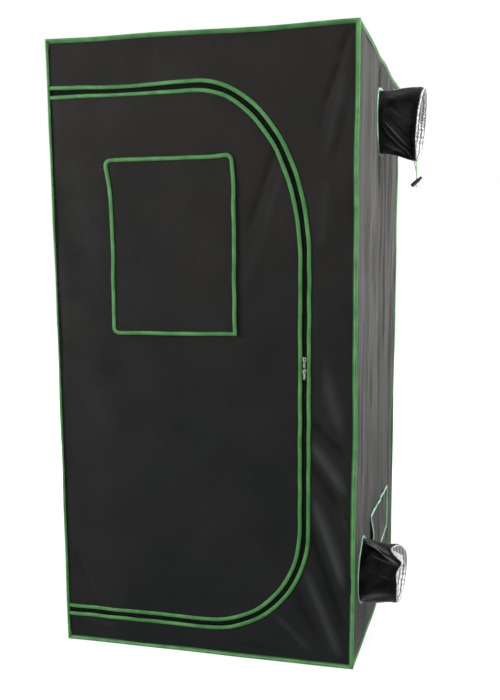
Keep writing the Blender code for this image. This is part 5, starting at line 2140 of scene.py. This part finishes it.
@dataclass
class Tray:
    """The loose waterproof tray: a laid base with a soft upright wall and a rolled hem."""

    shop: Workshop
    low: tuple[float, float, float]
    high: tuple[float, float, float]
    corner: float = 0.016
    cloth: float = 0.0009
    inset: float = 0.0015
    base_inset: float = 0.0012
    rim_drop: float = 0.0005
    sway: float = 0.0007

    def loop(self) -> np.ndarray:
        """The tray's outline, a little inside its packed box."""
        low = [place + self.inset for place in self.low[:2]]
        high = [place - self.inset for place in self.high[:2]]
        return spaced(rounded_rectangle(low, high, (self.corner,) * 4), 0.02, closed=True)

    def build(self) -> None:
        """Makes the base and the wall."""
        loop = self.loop()
        floor = Wall((0, 0, self.low[2]), (1, 0, 0), (0, 1, 0), self.low[:2], self.high[:2], seed=12)
        panel = ClothPanel(floor, offset_path(loop, self.base_inset, True), (), 0.0, self.cloth, (0.03, 0.03))
        piece = panel.draft().piece("tray_base", [self.shop.finishes["silver_lining"]] * 2)
        report(piece, Body.FLOOR_TRAY, ["floor_tray"])
        tall = self.high[2] - self.low[2]
        along = distances(loop)
        sway = self.sway * (np.sin(along * 21) + np.sin(along * 47 + 1.0))
        hem = ((0.0, 0.86), (-0.0007, 0.90), (-0.0009, 0.95), (-0.0006, 0.985), (0.0004, 1.0))
        outer = [(0.0, share) for share in np.linspace(0.01, 0.82, 8)] + list(hem)
        inner = [(0.0019, 0.985), (0.0021, 0.95), (0.0018, 0.90)]
        inner += [(self.cloth, share) for share in np.linspace(0.86, 0.025, 9)]
        way = offset_path(loop, 1.0, True) - loop
        rows = []
        for inset, share in [*outer, *inner, outer[0]]:
            ring = offset_path(loop, inset, True) + way * (sway * share)[:, None]
            lift = np.full(len(ring), self.low[2] + share * (tall - self.rim_drop))
            rows.append(np.column_stack([ring, lift]))
        points = np.stack(rows)
        points = np.concatenate([points, points[:, :1]], axis=1)
        along = np.append(along, along[-1] + np.linalg.norm(loop[0] - loop[-1]))
        up = np.array([share * tall for _, share in [*outer, *inner, outer[0]]])
        draft = Draft()
        draft.tube(points, along, up, capped=False)
        piece = draft.piece("tray_wall", [self.shop.finishes["silver_lining"]])
        report(piece, Body.FLOOR_TRAY, ["floor_tray"])


@dataclass
class Hardware:
    """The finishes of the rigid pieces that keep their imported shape."""

    shop: Workshop
    nodes: dict[str, bpy.types.Object]

    def dress(self) -> None:
        """Gives each rigid node the finish of its kind."""
        kinds = (
            (("post_", "base_rail", "roof_rail", "roof_bar"), "pole_enamel"),
            (("corner_",), "corner_plastic"),
            (("zip_slider", "zip_pull"), "zip_metal"),
            (("cord_lock",), "lock_plastic"),
        )
        for name, node in self.nodes.items():
            for starts, slot in kinds:
                if name.startswith(starts):
                    for place in node.material_slots:
                        place.material = self.shop.finishes[slot]


@dataclass
class Studio:
    """A pale floor, soft lamps and the camera where the photographer stood."""

    focal_px: float = 863.175
    shift_px: tuple[float, float] = (37.059, 47.451)
    place: tuple[float, float, float] = (0.917, -3.109, 1.281)
    yaw: float = 0.238
    pitch: float = 0.148
    frame_px: int = 700
    ambient: float = 0.36
    floor_reach: float = 14.0
    floor_drop: float = 0.0005

    def build(self) -> None:
        """Makes the camera, the lamps, the world and the floor."""
        self.camera()
        self.lamp("lamp_key", (-6.2, -3.3, 3.0), (0, -0.5, 1.0), 2.0, 590)
        self.lamp("lamp_side", (3.1, -0.7, 3.7), (0.5, 0, 1.3), 1.6, 200)
        self.lamp("lamp_back", (-1.6, 5.6, 3.4), (0, 0.5, 1.0), 2.6, 210)
        self.world()
        self.floor()
        bpy.context.scene.view_settings.view_transform = "Standard"

    def camera(self) -> None:
        """The camera at the photograph's angle."""
        data = bpy.data.cameras.new("camera")
        data.sensor_width = 36
        data.lens = self.focal_px * data.sensor_width / self.frame_px
        data.shift_x = -self.shift_px[0] / self.frame_px
        data.shift_y = self.shift_px[1] / self.frame_px
        camera = placed("camera", data)
        camera.location = self.place
        camera.rotation_euler = (math.pi / 2 - self.pitch, 0, self.yaw)
        bpy.context.scene.camera = camera

    def lamp(
        self, name: str, place: Sequence[float], target: Sequence[float], size: float, power: float
    ) -> None:
        """One soft square lamp aimed at a place.

        Args:
            name: its name.
            place: where it stands.
            target: what it is aimed at.
            size: its side in metres.
            power: its power in watts.
        """
        data = bpy.data.lights.new(name, "AREA")
        data.size = size
        data.energy = power
        lamp = placed(name, data)
        lamp.location = place
        aim = Vector(target) - Vector(place)
        lamp.rotation_euler = aim.to_track_quat("-Z", "Y").to_euler()

    def world(self) -> None:
        """White where the camera, gloss and glass look, and a plain level elsewhere."""
        world = bpy.data.worlds.new("studio")
        world.use_nodes = True
        bpy.context.scene.world = world
        nodes = Nodes(world.node_tree)
        level = nodes.node("MapRange", {"Value": nodes.seen(), "To Min": self.ambient, "To Max": 1.0})
        background = nodes.tree.nodes["Background"]
        nodes.feed(background.inputs["Color"], (1, 1, 1, 1))
        nodes.feed(background.inputs["Strength"], level.outputs[0])

    def floor(self) -> None:
        """A wide floor that shows white and keeps the tent's shadow."""
        mesh = bpy.data.meshes.new("floor")
        reach, drop = self.floor_reach, self.floor_drop
        corners = [(x, y, -drop) for x, y in rounded_rectangle((-reach, -reach), (reach, reach))]
        mesh.from_pydata(corners, [], [(0, 1, 2, 3)])
        floor = placed("studio_floor", mesh)
        sketch = Sketch("studio_floor")
        sketch.put(Base_Color=(0.34, 0.34, 0.34, 1), Roughness=0.9, Specular_IOR_Level=0.0)
        place = sketch.node("TexCoord").outputs["Object"]
        away = sketch.node("VectorMath", {0: place}, operation="LENGTH").outputs["Value"]
        far = sketch.spread(away, 0.74, 1.2, 1.0, 2.6)
        glow = sketch.node("Emission", {"Color": (1, 1, 1, 1), "Strength": far}).outputs[0]
        plain = sketch.shader.outputs[0]
        both = sketch.node("AddShader", {0: plain, 1: glow}).outputs[0]
        mix = sketch.node("MixShader", {0: sketch.seen(), 1: plain, 2: both}).outputs[0]
        sketch.feed(sketch.tree.nodes["Material Output"].inputs["Surface"], mix)
        mesh.materials.append(sketch.material)


def main() -> None:
    """Loads the frame, dresses it and reports every piece."""
    logging.basicConfig(level=logging.INFO, format="%(name)s: %(message)s")
    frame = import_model()
    Studio().build()
    shop = Workshop(Finishes(), cover_walls(), Along("along_a_line"))
    upper = DuctSleeve(
        shop, "upper", SIZES.upper_port, length=0.135, lean=0.009, skew=0.005, drop=0.012,
        mouth_shares=(0.83, 0.98, 1.14, 0.98, 0.84, 0.96, 1.15, 0.96),
        folds=((186, 252, 0.006, 11), (205, 268, -0.005, 10), (330, 300, 0.003, 16)),
        creases=(
            (188, 262, 0.0034, 2.6), (176, 246, 0.0022, 2.2), (202, 272, -0.0030, 3.0),
            (196, 258, 0.0024, 1.8), (150, 196, 0.0009, 4.0), (226, 266, 0.0024, 2.4),
            (128, 150, -0.0014, 5.0), (166, 228, -0.0020, 3.0), (214, 264, 0.0014, 9.0),
        ),
    )
    lower = DuctSleeve(
        shop, "lower", SIZES.lower_port, length=0.133, lean=0.006, skew=0.003, drop=0.002,
        mouth_shares=(1.00, 0.95, 0.84, 0.96, 1.02, 0.96, 0.86, 0.95),
        folds=((96, 146, 0.008, 12), (80, 112, -0.009, 15), (228, 214, -0.003, 12)),
        creases=(
            (100, 150, 0.0050, 3.0), (118, 136, -0.0034, 4.0), (160, 176, 0.0012, 4.0),
            (214, 200, 0.0010, 3.0), (150, 190, -0.0014, 5.0), (240, 250, 0.0016, 3.0),
            (126, 152, 0.0012, 2.6), (205, 200, 0.0007, 34),
        ),
        notches=((92, 0.040, 42), (142, -0.016, 10), (166, 0.003, 10)), spill=(122, 0.026, 20), seed=56,
    )
    Drawcord(shop, upper).build()
    Cover(shop).build()
    doorway = Doorway(shop)
    doorway.build()
    Door(shop, doorway).build()
    upper.build()
    lower.build()
    Vent(shop).build()
    packed = np.array([tuple(corner) for corner in frame["nodes"]["floor_tray"].bound_box])
    Tray(shop, tuple(packed.min(axis=0)), tuple(packed.max(axis=0))).build()
    Hardware(shop, frame["nodes"]).dress()
    log.info("the tent is dressed")


if __name__ == "__main__":
    main()
